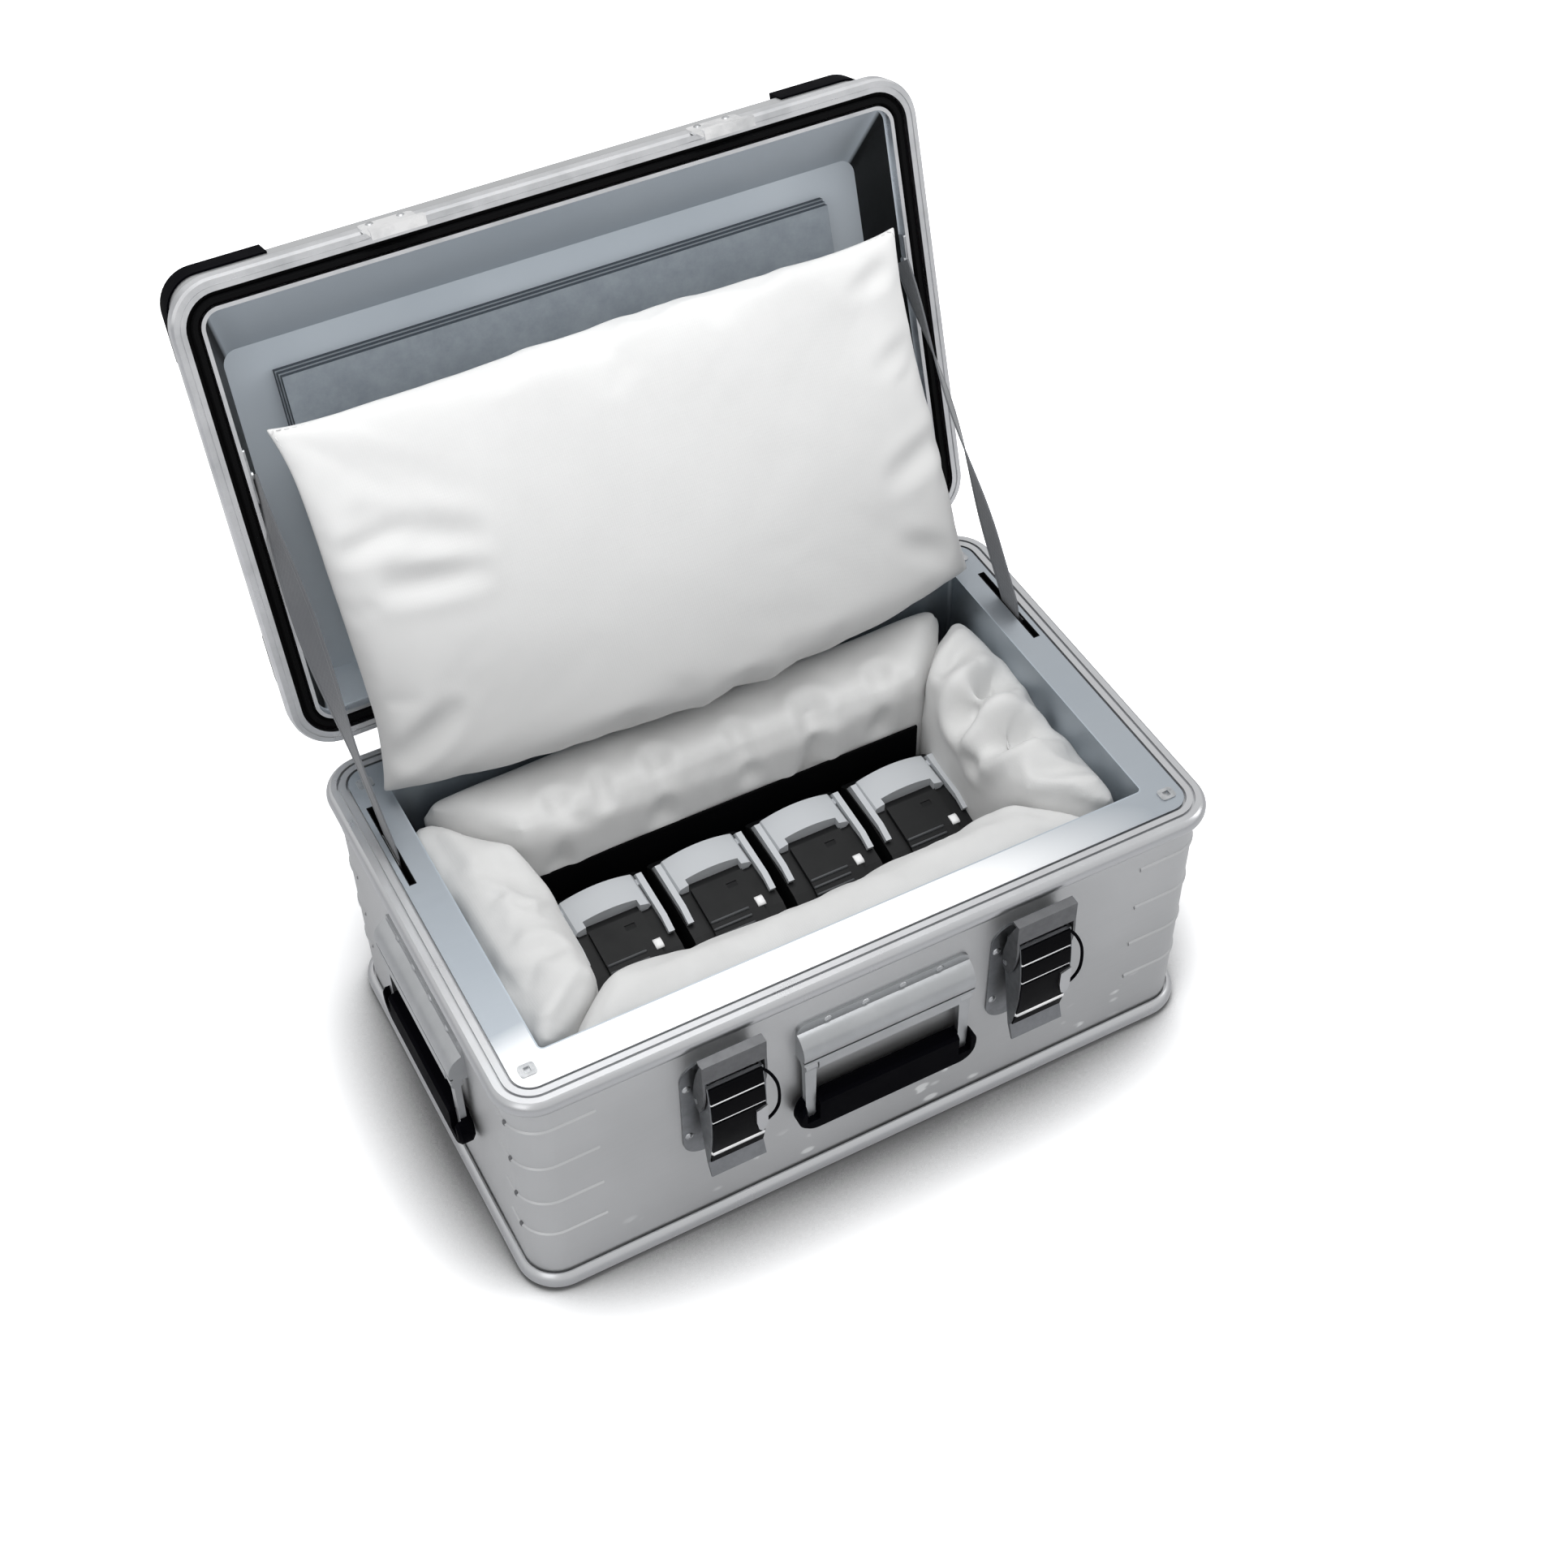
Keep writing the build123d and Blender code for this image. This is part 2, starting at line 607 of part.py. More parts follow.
def latch_claw(x):
    """Pressed claw: a cheek outside each web, joined by the plate whose nose hooks the keeper."""
    hook_top = parting_z - keeper_drop + 10
    cheek_in = latch_w / 2 + 1
    with BuildPart() as claw:
        for sign in (-1, 1):
            with BuildSketch(wall_plane(x + sign * (cheek_in + 1), -wall_y)):
                with BuildLine():
                    Polyline((19, hook_top), (21.5, hook_top), (21.5, 211))
                    ThreePointArc((21.5, 211), (20.6, 186), (13.5, claw_z - 9))
                    ThreePointArc((13.5, claw_z - 9), (6.5, claw_z - 6.5), (3.6, claw_z))
                    ThreePointArc((3.6, claw_z), (8, 202), (19, hook_top))
                make_face()
                with Locations((claw_out, claw_z)):
                    Circle(2.5 + run_fit, mode=Mode.SUBTRACT)
            extrude(amount=1, both=True)
        with BuildSketch(wall_plane(x, -wall_y)):
            Polygon(
                (19, 211), (21.5, 211), (21.5, hook_top), (13.4, hook_top), (13.4, hook_top - 2.2),
                (19, hook_top - 2.2), align=None,
            )
        extrude(amount=cheek_in + 2, both=True)
    return claw.part


for side, sign in SIDES:
    write(latch_plate(sign * latch_x), f"latch_{side}_plate")
    write(latch_lever(sign * latch_x), f"latch_{side}_lever")
    write(latch_bands(sign * latch_x), f"latch_{side}_bands")
    write(latch_claw(sign * latch_x), f"latch_{side}_claw")
    with BuildPart() as claw_pins:
        for end in (-1, 1):
            with BuildSketch(wall_plane(sign * latch_x + end * (latch_w / 2 + 0.7), -wall_y)):
                with Locations((claw_out, claw_z)):
                    Circle(2.5)
            extrude(amount=2.7, both=True)
    write(claw_pins.part, f"latch_{side}_claw_pins")

with BuildPart() as latch_pins:
    for side, sign in SIDES:
        with BuildSketch(wall_plane(sign * latch_x, -wall_y)):
            with Locations((pivot_out, latch_z)):
                Circle(2.5)
        extrude(amount=latch_w / 2 - 0.1, both=True)
write(latch_pins.part, "latch_pins")

# Handles: an aluminium profile on the wall, a bail that hangs from it and a moulded grip.
# Each is drawn against a wall at y = 0 and placed on the front and on both ends.
rod_out = 8.2
rod_r = 3
arm_w = 10
arm_x = handle_w / 2 - 2 - arm_w / 2
grip_top = handle_z - 42
grip_low = handle_z - 78


def handle_bracket():
    with BuildPart() as bracket:
        with BuildSketch(wall_plane()):
            with BuildLine():
                Polyline((0, handle_z + 6), (0, handle_z + 42), (2.2, handle_z + 42), (2.2, handle_z + 33))
                ThreePointArc((2.2, handle_z + 33), (11, handle_z + 26), (13.4, handle_z + 11))
                Polyline((13.4, handle_z + 11), (11.4, handle_z + 11), (11.4, handle_z + 9.4))
                Polyline((11.4, handle_z + 9.4), (13.6, handle_z + 9.4), (13.6, handle_z + 6), (0, handle_z + 6))
            make_face()
        extrude(amount=handle_w / 2, both=True)
        fillet(bracket.edges().filter_by(Axis.Y).group_by(Axis.Z)[-1], 8)
        with BuildSketch(wall_plane()):
            Polygon((0, handle_z - 8), (0, handle_z + 7), (13.6, handle_z + 7), (13.6, handle_z - 2),
                    (10, handle_z - 6), align=None)
            with Locations((rod_out, handle_z)):
                Circle(rod_r + run_fit, mode=Mode.SUBTRACT)
        extrude(amount=arm_x - arm_w / 2 - 0.6, both=True)
    return bracket.part


def handle_bail():
    """Rod with a tapered flat arm at each end."""
    with BuildPart() as bail:
        with BuildSketch(wall_plane()):
            with Locations((rod_out, handle_z)):
                Circle(rod_r)
        extrude(amount=arm_x, both=True)
        for sign in (-1, 1):
            arm_plane = Plane(origin=(sign * arm_x, -rod_out, handle_z), x_dir=(1, 0, 0), z_dir=(0, -1, 0))
            with BuildSketch(arm_plane):
                with BuildLine():
                    Polyline((-arm_w / 2, 3.2), (arm_w / 2, 3.2), (arm_w / 2 - 1, -handle_drop + 6))
                    ThreePointArc((arm_w / 2 - 1, -handle_drop + 6), (0, -handle_drop),
                                  (1 - arm_w / 2, -handle_drop + 6))
                    Line((1 - arm_w / 2, -handle_drop + 6), (-arm_w / 2, 3.2))
                make_face()
            extrude(amount=2.6, both=True)
            with BuildSketch(wall_plane(sign * arm_x)):
                with Locations((rod_out, handle_z)):
                    Circle(4.8)
            extrude(amount=arm_w / 2, both=True)
    return bail.part


def handle_grip(bail):
    """Moulded grip with rounded lower corners, let in round the ends of the arms."""
    with BuildPart() as grip:
        with BuildSketch(Plane(origin=(0, -rod_out - 8, 0), x_dir=(1, 0, 0), z_dir=(0, -1, 0))) as front:
            with Locations((0, (grip_top + grip_low) / 2)):
                Rectangle(handle_w + 10, grip_top - grip_low)
            fillet(front.vertices().group_by(Axis.Z)[0], 17)
            fillet(front.vertices().group_by(Axis.Z)[-1], 4)
        extrude(amount=-14)
        chamfer(grip.faces().group_by(Axis.Y)[0].edges(), 2.4)
        chamfer(grip.faces().group_by(Axis.Y)[-1].edges(), 3)
        add(bail, mode=Mode.SUBTRACT)
        for sign in (-1, 1):
            with BuildSketch(Plane(origin=(0, -rod_out - 12, 0), x_dir=(1, 0, 0), z_dir=(0, -1, 0))):
                with Locations((sign * arm_x, handle_z - handle_drop / 2 - 2)):
                    Rectangle(arm_w + 1, handle_drop - 6)
            extrude(amount=-9.4, mode=Mode.SUBTRACT)
    return grip.part


handle_places = {
    "front": Location((handle_x, -wall_y, 0)),
    "left": Location((-wall_x, handle_y, 0), (0, 0, -90)),
    "right": Location((wall_x, handle_y, 0), (0, 0, 90)),
}
bail = handle_bail()
for place, location in handle_places.items():
    write(handle_bracket().moved(location), f"{place}_handle_bracket")
    write(bail.moved(location), f"{place}_handle_bail")
    write(handle_grip(bail).moved(location), f"{place}_handle_grip")

# Lid stays: two webbing straps from the lid's lip through the flange slots to a foot plate
stay_reach = 236        # from the hinge to the stay's anchor along the lid
stay_w = 25
stay_t = 1.6
stay_x = slot_x
angle = radians(lid_angle)
stay_top_y = hinge_y - stay_reach * cos(angle) + 6 * sin(angle)
stay_top_z = hinge_z + stay_reach * sin(angle) + 6 * cos(angle)
stay_low_y = 82
stay_low_z = base_h - 20

with BuildPart() as stay_anchors:
    for side, sign in SIDES:
        with BuildSketch(wall_plane(sign * (lip_x - 0.8))):
            with Locations((stay_reach - hinge_y, parting_z + 5.6)):
                RectangleRounded(44, 8, 2)
        extrude(amount=0.8, both=True)
        with BuildSketch(wall_plane(sign * (lip_x + stay_x + stay_t / 2 - 1) / 2)):
            with Locations((stay_reach - hinge_y, parting_z + 5.6)):
                Circle(3.6)
        extrude(amount=(lip_x - 1 - stay_x - stay_t / 2) / 2, both=True)
write(opened(stay_anchors.part), "stay_anchors")

with BuildPart() as stay_feet:
    for side, sign in SIDES:
        with BuildSketch(wall_plane(sign * (half_w - 22.8))):
            with Locations((-stay_low_y, base_h - 12.5)):
                Rectangle(34, 22)
        extrude(amount=0.8, both=True)
        with BuildSketch(wall_plane(sign * (stay_x + stay_t / 2 + 0.5))):
            with Locations((-stay_low_y, stay_low_z + 7)):
                Circle(5)
        extrude(amount=0.5, both=True)
write(stay_feet.part, "stay_feet")

for side, sign in SIDES:
    with BuildPart() as stay:
        with BuildSketch(wall_plane(sign * stay_x)):
            with BuildLine():
                Polyline((-stay_top_y, stay_top_z), (-stay_low_y, base_h + 3), (-stay_low_y, stay_low_z))
            trace(line_width=stay_w)
        extrude(amount=stay_t / 2, both=True)
    write(stay.part, f"stay_{side}")

# Rivets: low domed heads that fix the plates, profiles and leaves to the sheets
rivet_r = 3.6
rivet_h = 1.2


def head_planes(plane, points):
    """One plane for each rivet head, at the given points of a wall."""
    spots = [plane.from_local_coords((x, y, 0)) for x, y in points]
    return [Plane(origin=spot, x_dir=plane.x_dir, z_dir=plane.z_dir) for spot in spots]


front_wall = Plane(origin=(0, -wall_y, 0), x_dir=(1, 0, 0), z_dir=(0, -1, 0))
back_wall = Plane(origin=(0, wall_y, 0), x_dir=(-1, 0, 0), z_dir=(0, 1, 0))
bracket_row = [(dx, handle_z + 37) for dx in (-48, -16, 16, 48)]
base_heads = head_planes(front_wall.offset(2.2), [(handle_x + dx, z) for dx, z in bracket_row])
for side, sign in SIDES:
    plate_points = [(sign * latch_x + dx, 154 + dz) for dx in (-30, 30) for dz in (-30, 30)]
    base_heads += head_planes(front_wall.offset(1.6), plate_points)
    leaf_points = [(sign * hinge_x + dx, hinge_z - 44 + dz) for dx in (-22, 22) for dz in (-9, 9)]
    base_heads += head_planes(back_wall.offset(2), leaf_points)
    end_wall = Plane(origin=(sign * (wall_x + 2.2), handle_y, 0), x_dir=(0, sign, 0), z_dir=(sign, 0, 0))
    base_heads += head_planes(end_wall, bracket_row)

with BuildPart() as base_rivets:
    with BuildSketch(*base_heads):
        RegularPolygon(rivet_r, 12)
    extrude(amount=rivet_h, taper=35)
write(base_rivets.part, "base_rivets")

# Lid rivets: the heads of the hinge leaves, the keepers and the liner's inner walls
lid_heads = []
for side, sign in SIDES:
    leaf_points = [(sign * hinge_x + dx, hinge_z + 44 + dz) for dx in (-22, 22) for dz in (-9, 9)]
    lid_heads += head_planes(back_wall.offset(2), leaf_points)
    keeper_points = [(sign * latch_x + dx, parting_z + 8) for dx in (-12, 12)]
    lid_heads += head_planes(front_wall.offset(half_d + lid_proud - wall_y + 2), keeper_points)

with BuildPart() as lid_rivets:
    with BuildSketch(*lid_heads):
        RegularPolygon(rivet_r - 0.6, 12)
    extrude(amount=rivet_h, taper=35)
write(opened(lid_rivets.part), "lid_rivets")
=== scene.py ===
# %% [markdown]
# # A battery transport case
# This lesson dresses an aluminium transport case. Every rigid piece arrives from the CAD model at
# its real size and keeps its place; this file gives the pieces their finishes, sews and fills the
# cushions, weaves the lid stays and adds the small things that a metalworker would add last.

# %% Load the frame
import math

import bmesh
import bpy
from mathutils import Matrix, Vector, noise


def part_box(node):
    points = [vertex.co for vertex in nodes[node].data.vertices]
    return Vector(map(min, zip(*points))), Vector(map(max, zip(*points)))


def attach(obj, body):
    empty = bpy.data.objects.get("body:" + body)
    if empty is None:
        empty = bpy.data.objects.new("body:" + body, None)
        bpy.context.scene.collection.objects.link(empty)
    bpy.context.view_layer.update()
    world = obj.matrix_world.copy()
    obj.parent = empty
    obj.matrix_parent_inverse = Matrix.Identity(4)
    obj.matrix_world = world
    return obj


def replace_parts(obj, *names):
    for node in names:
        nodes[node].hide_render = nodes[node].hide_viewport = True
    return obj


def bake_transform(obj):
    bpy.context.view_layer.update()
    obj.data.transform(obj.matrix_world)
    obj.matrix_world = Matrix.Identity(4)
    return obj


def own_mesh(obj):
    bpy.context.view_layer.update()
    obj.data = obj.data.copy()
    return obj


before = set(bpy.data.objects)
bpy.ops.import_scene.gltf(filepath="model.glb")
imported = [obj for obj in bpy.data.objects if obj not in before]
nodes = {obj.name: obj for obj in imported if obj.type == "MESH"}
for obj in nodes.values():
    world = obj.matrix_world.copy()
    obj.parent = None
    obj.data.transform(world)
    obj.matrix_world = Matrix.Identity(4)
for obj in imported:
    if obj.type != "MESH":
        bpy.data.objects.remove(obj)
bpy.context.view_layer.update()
print("pieces from the CAD model:", len(nodes))

# %% [markdown]
# ## Two small helpers
# Colours are picked as sRGB hex values, because that is what a paint chart gives. The renderer
# wants linear light, so one function converts them. The second adds a shader node with its
# settings and its links in one call, which keeps each material readable from top to bottom.

# %% Colour and node helpers
MM = 0.001


def linear(hex_code):
    """sRGB hex to the linear RGBA that the shaders work in."""
    parts = [int(hex_code[i:i + 2], 16) / 255 for i in (1, 3, 5)]
    return [c / 12.92 if c <= 0.04045 else ((c + 0.055) / 1.055) ** 2.4 for c in parts] + [1.0]


def add_node(tree, kind, links=None, **settings):
    """Adds a node. settings are its properties or socket values; links joins sockets to outputs."""
    made = tree.nodes.new(kind)
    for name, value in settings.items():
        if hasattr(made, name):
            setattr(made, name, value)
        else:
            made.inputs[name.replace("_", " ")].default_value = value
    for name, output in (links or {}).items():
        tree.links.new(output, made.inputs[name])
    return made


def new_material(name, **shader_values):
    """A material with one Principled shader; returns the material, its tree and the shader."""
    material = bpy.data.materials.new(name)
    material.use_nodes = True
    tree = material.node_tree
    shader = tree.nodes["Principled BSDF"]
    for socket, value in shader_values.items():
        shader.inputs[socket.replace("_", " ")].default_value = value
    return material, tree, shader


def position(tree, scale=(1, 1, 1), turn=(0, 0, 0)):
    """Object coordinates in metres, scaled for a pattern that is finer along one axis."""
    coords = add_node(tree, "ShaderNodeTexCoord").outputs["Object"]
    mapping = add_node(tree, "ShaderNodeMapping", {"Vector": coords})
    mapping.inputs["Scale"].default_value = scale
    mapping.inputs["Rotation"].default_value = turn
    return mapping.outputs["Vector"]


def noise_of(tree, vector, per_metre, detail=4.0, roughness=0.55):
    """Noise with a given number of features in a metre."""
    return add_node(tree, "ShaderNodeTexNoise", {"Vector": vector}, Scale=per_metre, Detail=detail,
                    Roughness=roughness).outputs["Fac"]


def spread(tree, value, low, high, to_low=0.0, to_high=1.0):
    """Stretches a value from one range to another and clamps it."""
    made = add_node(tree, "ShaderNodeMapRange", {"Value": value})
    for socket, number in zip(("From Min", "From Max", "To Min", "To Max"), (low, high, to_low, to_high)):
        made.inputs[socket].default_value = number
    return made.outputs["Result"]


def blend_colours(tree, factor, first, second):
    """Mixes two colours, each a hex value or a socket, by a factor socket."""
    made = add_node(tree, "ShaderNodeMix", data_type="RGBA")
    tree.links.new(factor, made.inputs["Factor"])
    for slot, colour in ((6, first), (7, second)):
        if isinstance(colour, str):
            made.inputs[slot].default_value = linear(colour)
        else:
            tree.links.new(colour, made.inputs[slot])
    return made.outputs[2]


def bump(tree, height, distance, strength=1.0):
    """Normal from a height, with its real depth in metres."""
    return add_node(tree, "ShaderNodeBump", {"Height": height}, Strength=strength,
                    Distance=distance).outputs["Normal"]


# %% [markdown]
# ## Camera
# The photograph was taken from the front and left of the case, about a metre and three quarters
# away and well above it. Turning, height and lens were worked out from the straight rims of the
# case, whose real sizes are known from the CAD model.

# %% Camera
PHOTO_SIZE = 1932               # pixels, square
LENS_PX = 2857.3                # focal length in photograph pixels
CAMERA_TURN = -28.3             # degrees from straight on
CAMERA_RISE = 47.8              # degrees above the horizon
CAMERA_ROLL = -0.3
CAMERA_AWAY = 1.8063            # metres from the point looked at
LOOK_AT = Vector((0.0286, 0, 0.2399))
CENTRE_PX = (982.2, 962.3)      # where that point falls in the photograph

turn, rise = math.radians(CAMERA_TURN), math.radians(CAMERA_RISE)
away = Vector((math.sin(turn) * math.cos(rise), -math.cos(turn) * math.cos(rise), math.sin(rise)))
side = (-away).cross(Vector((0, 0, 1))).normalized()
up = side.cross(-away)
roll = math.radians(CAMERA_ROLL)
side, up = math.cos(roll) * side + math.sin(roll) * up, math.cos(roll) * up - math.sin(roll) * side

camera_data = bpy.data.cameras.new("camera")
camera = bpy.data.objects.new("camera", camera_data)
bpy.context.scene.collection.objects.link(camera)
basis = Matrix((side, up, away)).transposed().to_4x4()
camera.matrix_world = Matrix.Translation(LOOK_AT + away * CAMERA_AWAY) @ basis
camera_data.sensor_fit = "HORIZONTAL"
camera_data.sensor_width = 36
camera_data.lens = 36 * LENS_PX / PHOTO_SIZE
camera_data.shift_x = (PHOTO_SIZE / 2 - CENTRE_PX[0]) / PHOTO_SIZE
camera_data.shift_y = (CENTRE_PX[1] - PHOTO_SIZE / 2) / PHOTO_SIZE
camera_data.clip_end = 50
bpy.context.scene.camera = camera
print("camera at", [round(c, 3) for c in camera.location], "lens", round(camera_data.lens, 1), "mm")

# %% [markdown]
# ## Studio
# The case was lit like most product pictures: big soft sources on a white ground. Bare metal
# shows what is around it, so the white of the ground and the sky is given to camera and mirror
# rays alone. The light that falls on the case comes from a weaker sky and three soft panels, the
# largest overhead, which gives the top edges their bright lines.

# %% Studio
def seen_rays(tree):
    """1 for the rays that see the background directly, in a mirror or through glass."""
    path = add_node(tree, "ShaderNodeLightPath")
    seen = path.outputs["Is Camera Ray"]
    for ray in ("Is Glossy Ray", "Is Transmission Ray"):
        either = add_node(tree, "ShaderNodeMath", {0: seen, 1: path.outputs[ray]}, operation="MAXIMUM")
        seen = either.outputs[0]
    return seen


world = bpy.data.worlds.new("studio")
bpy.context.scene.world = world
world.use_nodes = True
sky = world.node_tree
sky.nodes.clear()
dim = add_node(sky, "ShaderNodeBackground", Color=linear("#f3f4f6"), Strength=0.6)
bright = add_node(sky, "ShaderNodeBackground", Color=linear("#ffffff"), Strength=1.0)
chosen = add_node(sky, "ShaderNodeMixShader", {"Fac": seen_rays(sky)})
sky.links.new(dim.outputs[0], chosen.inputs[1])
sky.links.new(bright.outputs[0], chosen.inputs[2])
add_node(sky, "ShaderNodeOutputWorld", {"Surface": chosen.outputs[0]})


def lamp(name, place, size, watts, target=(0, 0, 0.2)):
    """A soft rectangular panel that faces the case."""
    data = bpy.data.lights.new(name, "AREA")
    data.shape = "RECTANGLE"
    data.size, data.size_y = size
    data.energy = watts
    made = bpy.data.objects.new(name, data)
    made.location = place
    direction = Vector(target) - Vector(place)
    made.rotation_euler = direction.to_track_quat("-Z", "Y").to_euler()
    bpy.context.scene.collection.objects.link(made)
    return made


lamp("overhead", (-0.1, 0.0, 2.3), (2.0, 1.6), 32)
lamp("front_left", (-1.9, -1.5, 1.5), (1.2, 1.6), 6)
lamp("right_side", (2.2, -0.9, 1.5), (0.8, 1.6), 8)

FLOOR_HALF = 20                 # metres, far past the horizon of every view
floor_mesh = bpy.data.meshes.new("floor")
corners = [(x * FLOOR_HALF, y * FLOOR_HALF, 0) for x, y in ((-1, -1), (1, -1), (1, 1), (-1, 1))]
floor_mesh.from_pydata(corners, [], [(0, 1, 2, 3)])
floor = bpy.data.objects.new("floor", floor_mesh)
bpy.context.scene.collection.objects.link(floor)
paper, paper_tree, paper_shader = new_material("white studio paper", Roughness=0.9)
paper_shader.inputs["Base Color"].default_value = linear("#e4e4e5")
paper_shader.inputs["Specular IOR Level"].default_value = 0.1
# The camera sees paper a little brighter than white, as overexposed paper is, with a painted contact
# shadow: darker close to whatever stands on it, where little of the sky reaches.
closeness = add_node(paper_tree, "ShaderNodeAmbientOcclusion", Distance=0.14).outputs["AO"]
paper_with_painted_shadow = spread(paper_tree, closeness, 0.5, 1.0, 0.2, 1.9)
seen_paper = add_node(paper_tree, "ShaderNodeCombineXYZ", {"X": paper_with_painted_shadow, "Y": paper_with_painted_shadow, "Z": paper_with_painted_shadow})
bright_paper = add_node(paper_tree, "ShaderNodeBsdfDiffuse", {"Color": seen_paper.outputs[0]})
by_camera = add_node(paper_tree, "ShaderNodeLightPath").outputs["Is Camera Ray"]
paper_mix = add_node(paper_tree, "ShaderNodeMixShader", {"Fac": by_camera})
paper_tree.links.new(paper_shader.outputs[0], paper_mix.inputs[1])
paper_tree.links.new(bright_paper.outputs[0], paper_mix.inputs[2])
paper_tree.links.new(paper_mix.outputs[0], paper_tree.nodes["Material Output"].inputs["Surface"])
floor_mesh.materials.append(paper)

# %% [markdown]
# ## Aluminium sheet
# The tub and the lid cover are drawn from mill-finish aluminium sheet. Rolling leaves very fine
# lines that run one way, and use adds dull rubbed patches, a few bright scratches and, low on the
# front, the pock marks of years on truck beds. The lines are stretched noise, and the patches and
# marks are noise too, held to the places that get knocked.

# %% Aluminium sheet
ROLL_LINES_PER_M = 900          # one line in about 1.1 mm: finer would not show


def facing(tree, axis, low, high):
    """How squarely the surface faces along an axis, either way, stretched to 0..1."""
    normal = add_node(tree, "ShaderNodeTexCoord").outputs["Normal"]
    along = add_node(tree, "ShaderNodeVectorMath", {0: normal}, operation="DOT_PRODUCT")
    along.inputs[1].default_value = axis
    size = add_node(tree, "ShaderNodeMath", {0: along.outputs["Value"]}, operation="ABSOLUTE")
    return spread(tree, size.outputs[0], low, high)


def aluminium_sheet(name, colour, worn_colour, along=(0.02, 1, 1), roughness=0.38, marks=None,
                    sides=None, metallic=1.0, front=None):
    """Rolled sheet; along squeezes the noise so that its lines run one way.

    sides is an axis and the darker colour given to the walls that face along it, as painted shade;
    front is the brighter colour of a painted highlight on the flange at the front of the case."""
    material, tree, shader = new_material(name, Metallic=metallic)
    lines = noise_of(tree, position(tree, along), ROLL_LINES_PER_M, 3, 0.6)
    clouds = noise_of(tree, position(tree), 5, 3, 0.5)
    tint = blend_colours(tree, spread(tree, clouds, 0.35, 0.7), colour, worn_colour)
    if sides:
        # painted shade: walls that face along the axis take the darker colour
        tint = blend_colours(tree, facing(tree, sides[0], 0.4, 0.6), tint, sides[1])
    if front:
        # painted highlight: a soft bright patch at the front, strongest left of the middle
        painted_front_highlight = soft_box(tree, (-0.09, -0.165, 0.246), (0.34, 0.06, 0.1), 0.55)
        tint = blend_colours(tree, painted_front_highlight, tint, front)
    if marks:
        spots = knocks(tree, *marks)
        tint = blend_colours(tree, spots, tint, "#dcdddd")
        dull = spread(tree, spots, 0, 1, 0, 0.25)
    rough = add_node(tree, "ShaderNodeMath", {0: spread(tree, lines, 0.3, 0.7, 0, 0.05)}, operation="ADD")
    tree.links.new(spread(tree, clouds, 0.3, 0.75, roughness, roughness + 0.06), rough.inputs[1])
    if marks:
        rough = add_node(tree, "ShaderNodeMath", {0: rough.outputs[0], 1: dull}, operation="ADD")
    tree.links.new(tint, shader.inputs["Base Color"])
    tree.links.new(rough.outputs[0], shader.inputs["Roughness"])
    tree.links.new(bump(tree, lines, 0.00003), shader.inputs["Normal"])
    return material


def soft_box(tree, centre, size, start):
    """1 round a place, falling softly to 0 at the given half sizes."""
    offset = add_node(tree, "ShaderNodeVectorMath", {0: position(tree)}, operation="SUBTRACT")
    offset.inputs[1].default_value = centre
    scaled = add_node(tree, "ShaderNodeVectorMath", {0: offset.outputs[0]}, operation="DIVIDE")
    scaled.inputs[1].default_value = size
    reach = add_node(tree, "ShaderNodeVectorMath", {0: scaled.outputs[0]}, operation="LENGTH")
    return spread(tree, reach.outputs["Value"], start, 1.0, 1, 0)


def knocks(tree, centre, size, spots_per_metre):
    """Small bright dents with ragged edges, held inside a soft box on the wall."""
    where = position(tree)
    long = position(tree, (0.55, 1, 1))
    ragged = add_node(tree, "ShaderNodeTexVoronoi", {"Vector": long}, Scale=spots_per_metre,
                      Randomness=1.0).outputs["Distance"]
    speck = spread(tree, ragged, 0.2, 0.3, 1, 0)
    thin = spread(tree, noise_of(tree, where, 32, 2), 0.5, 0.56)
    near = soft_box(tree, centre, size, 0.7)
    both = add_node(tree, "ShaderNodeMath", {0: speck, 1: near}, operation="MULTIPLY")
    return add_node(tree, "ShaderNodeMath", {0: both.outputs[0], 1: thin}, operation="MULTIPLY").outputs[0]


sheet_metal = aluminium_sheet("mill finish aluminium sheet", "#bdbebf", "#b1b2b3", roughness=0.4,
                              marks=((0.06, -0.18, 0.045), (0.31, 0.03, 0.032), 70))
lid_metal = aluminium_sheet("mill finish aluminium lid sheet", "#bdbebf", "#b1b2b3", roughness=0.4)
# The flange's front colour is a painted highlight.
liner_metal = aluminium_sheet("bare aluminium liner sheet", "#9ca2a8", "#959ca3", roughness=0.34,
                              front="#e8e9ea")
liner_wall_metal = aluminium_sheet("bare aluminium liner walls", "#a3abb2", "#98a0a8", roughness=0.4)
# The lid liner is lighter and less metallic than the flange, as painted light, and its walls that face left
# and right are near black, as painted shade.
lid_liner_painted_light_and_shade = aluminium_sheet("bare aluminium lid liner sheet", "#ccd4db", "#bfc8d0", roughness=0.45,
                                  sides=((1, 0, 0), "#0b0c0d"), metallic=0.35)

# %% [markdown]
# ## Aluminium profiles
# The rims, the skid frame and the handle housings are extruded, which leaves die lines along the
# length and a brighter skin than sheet.

# %% Aluminium profiles
def extruded(name, colour, roughness):
    """Extruded and lightly tumbled aluminium."""
    material, tree, shader = new_material(name, Metallic=1.0)
    clouds = noise_of(tree, position(tree), 25, 4, 0.6)
    tree.links.new(blend_colours(tree, spread(tree, clouds, 0.45, 0.8), colour, "#b4b6b8"),
                   shader.inputs["Base Color"])
    tree.links.new(spread(tree, clouds, 0.3, 0.7, roughness, roughness + 0.1), shader.inputs["Roughness"])
    fine = noise_of(tree, position(tree), 1500, 2)
    tree.links.new(bump(tree, fine, 0.00002), shader.inputs["Normal"])
    return material


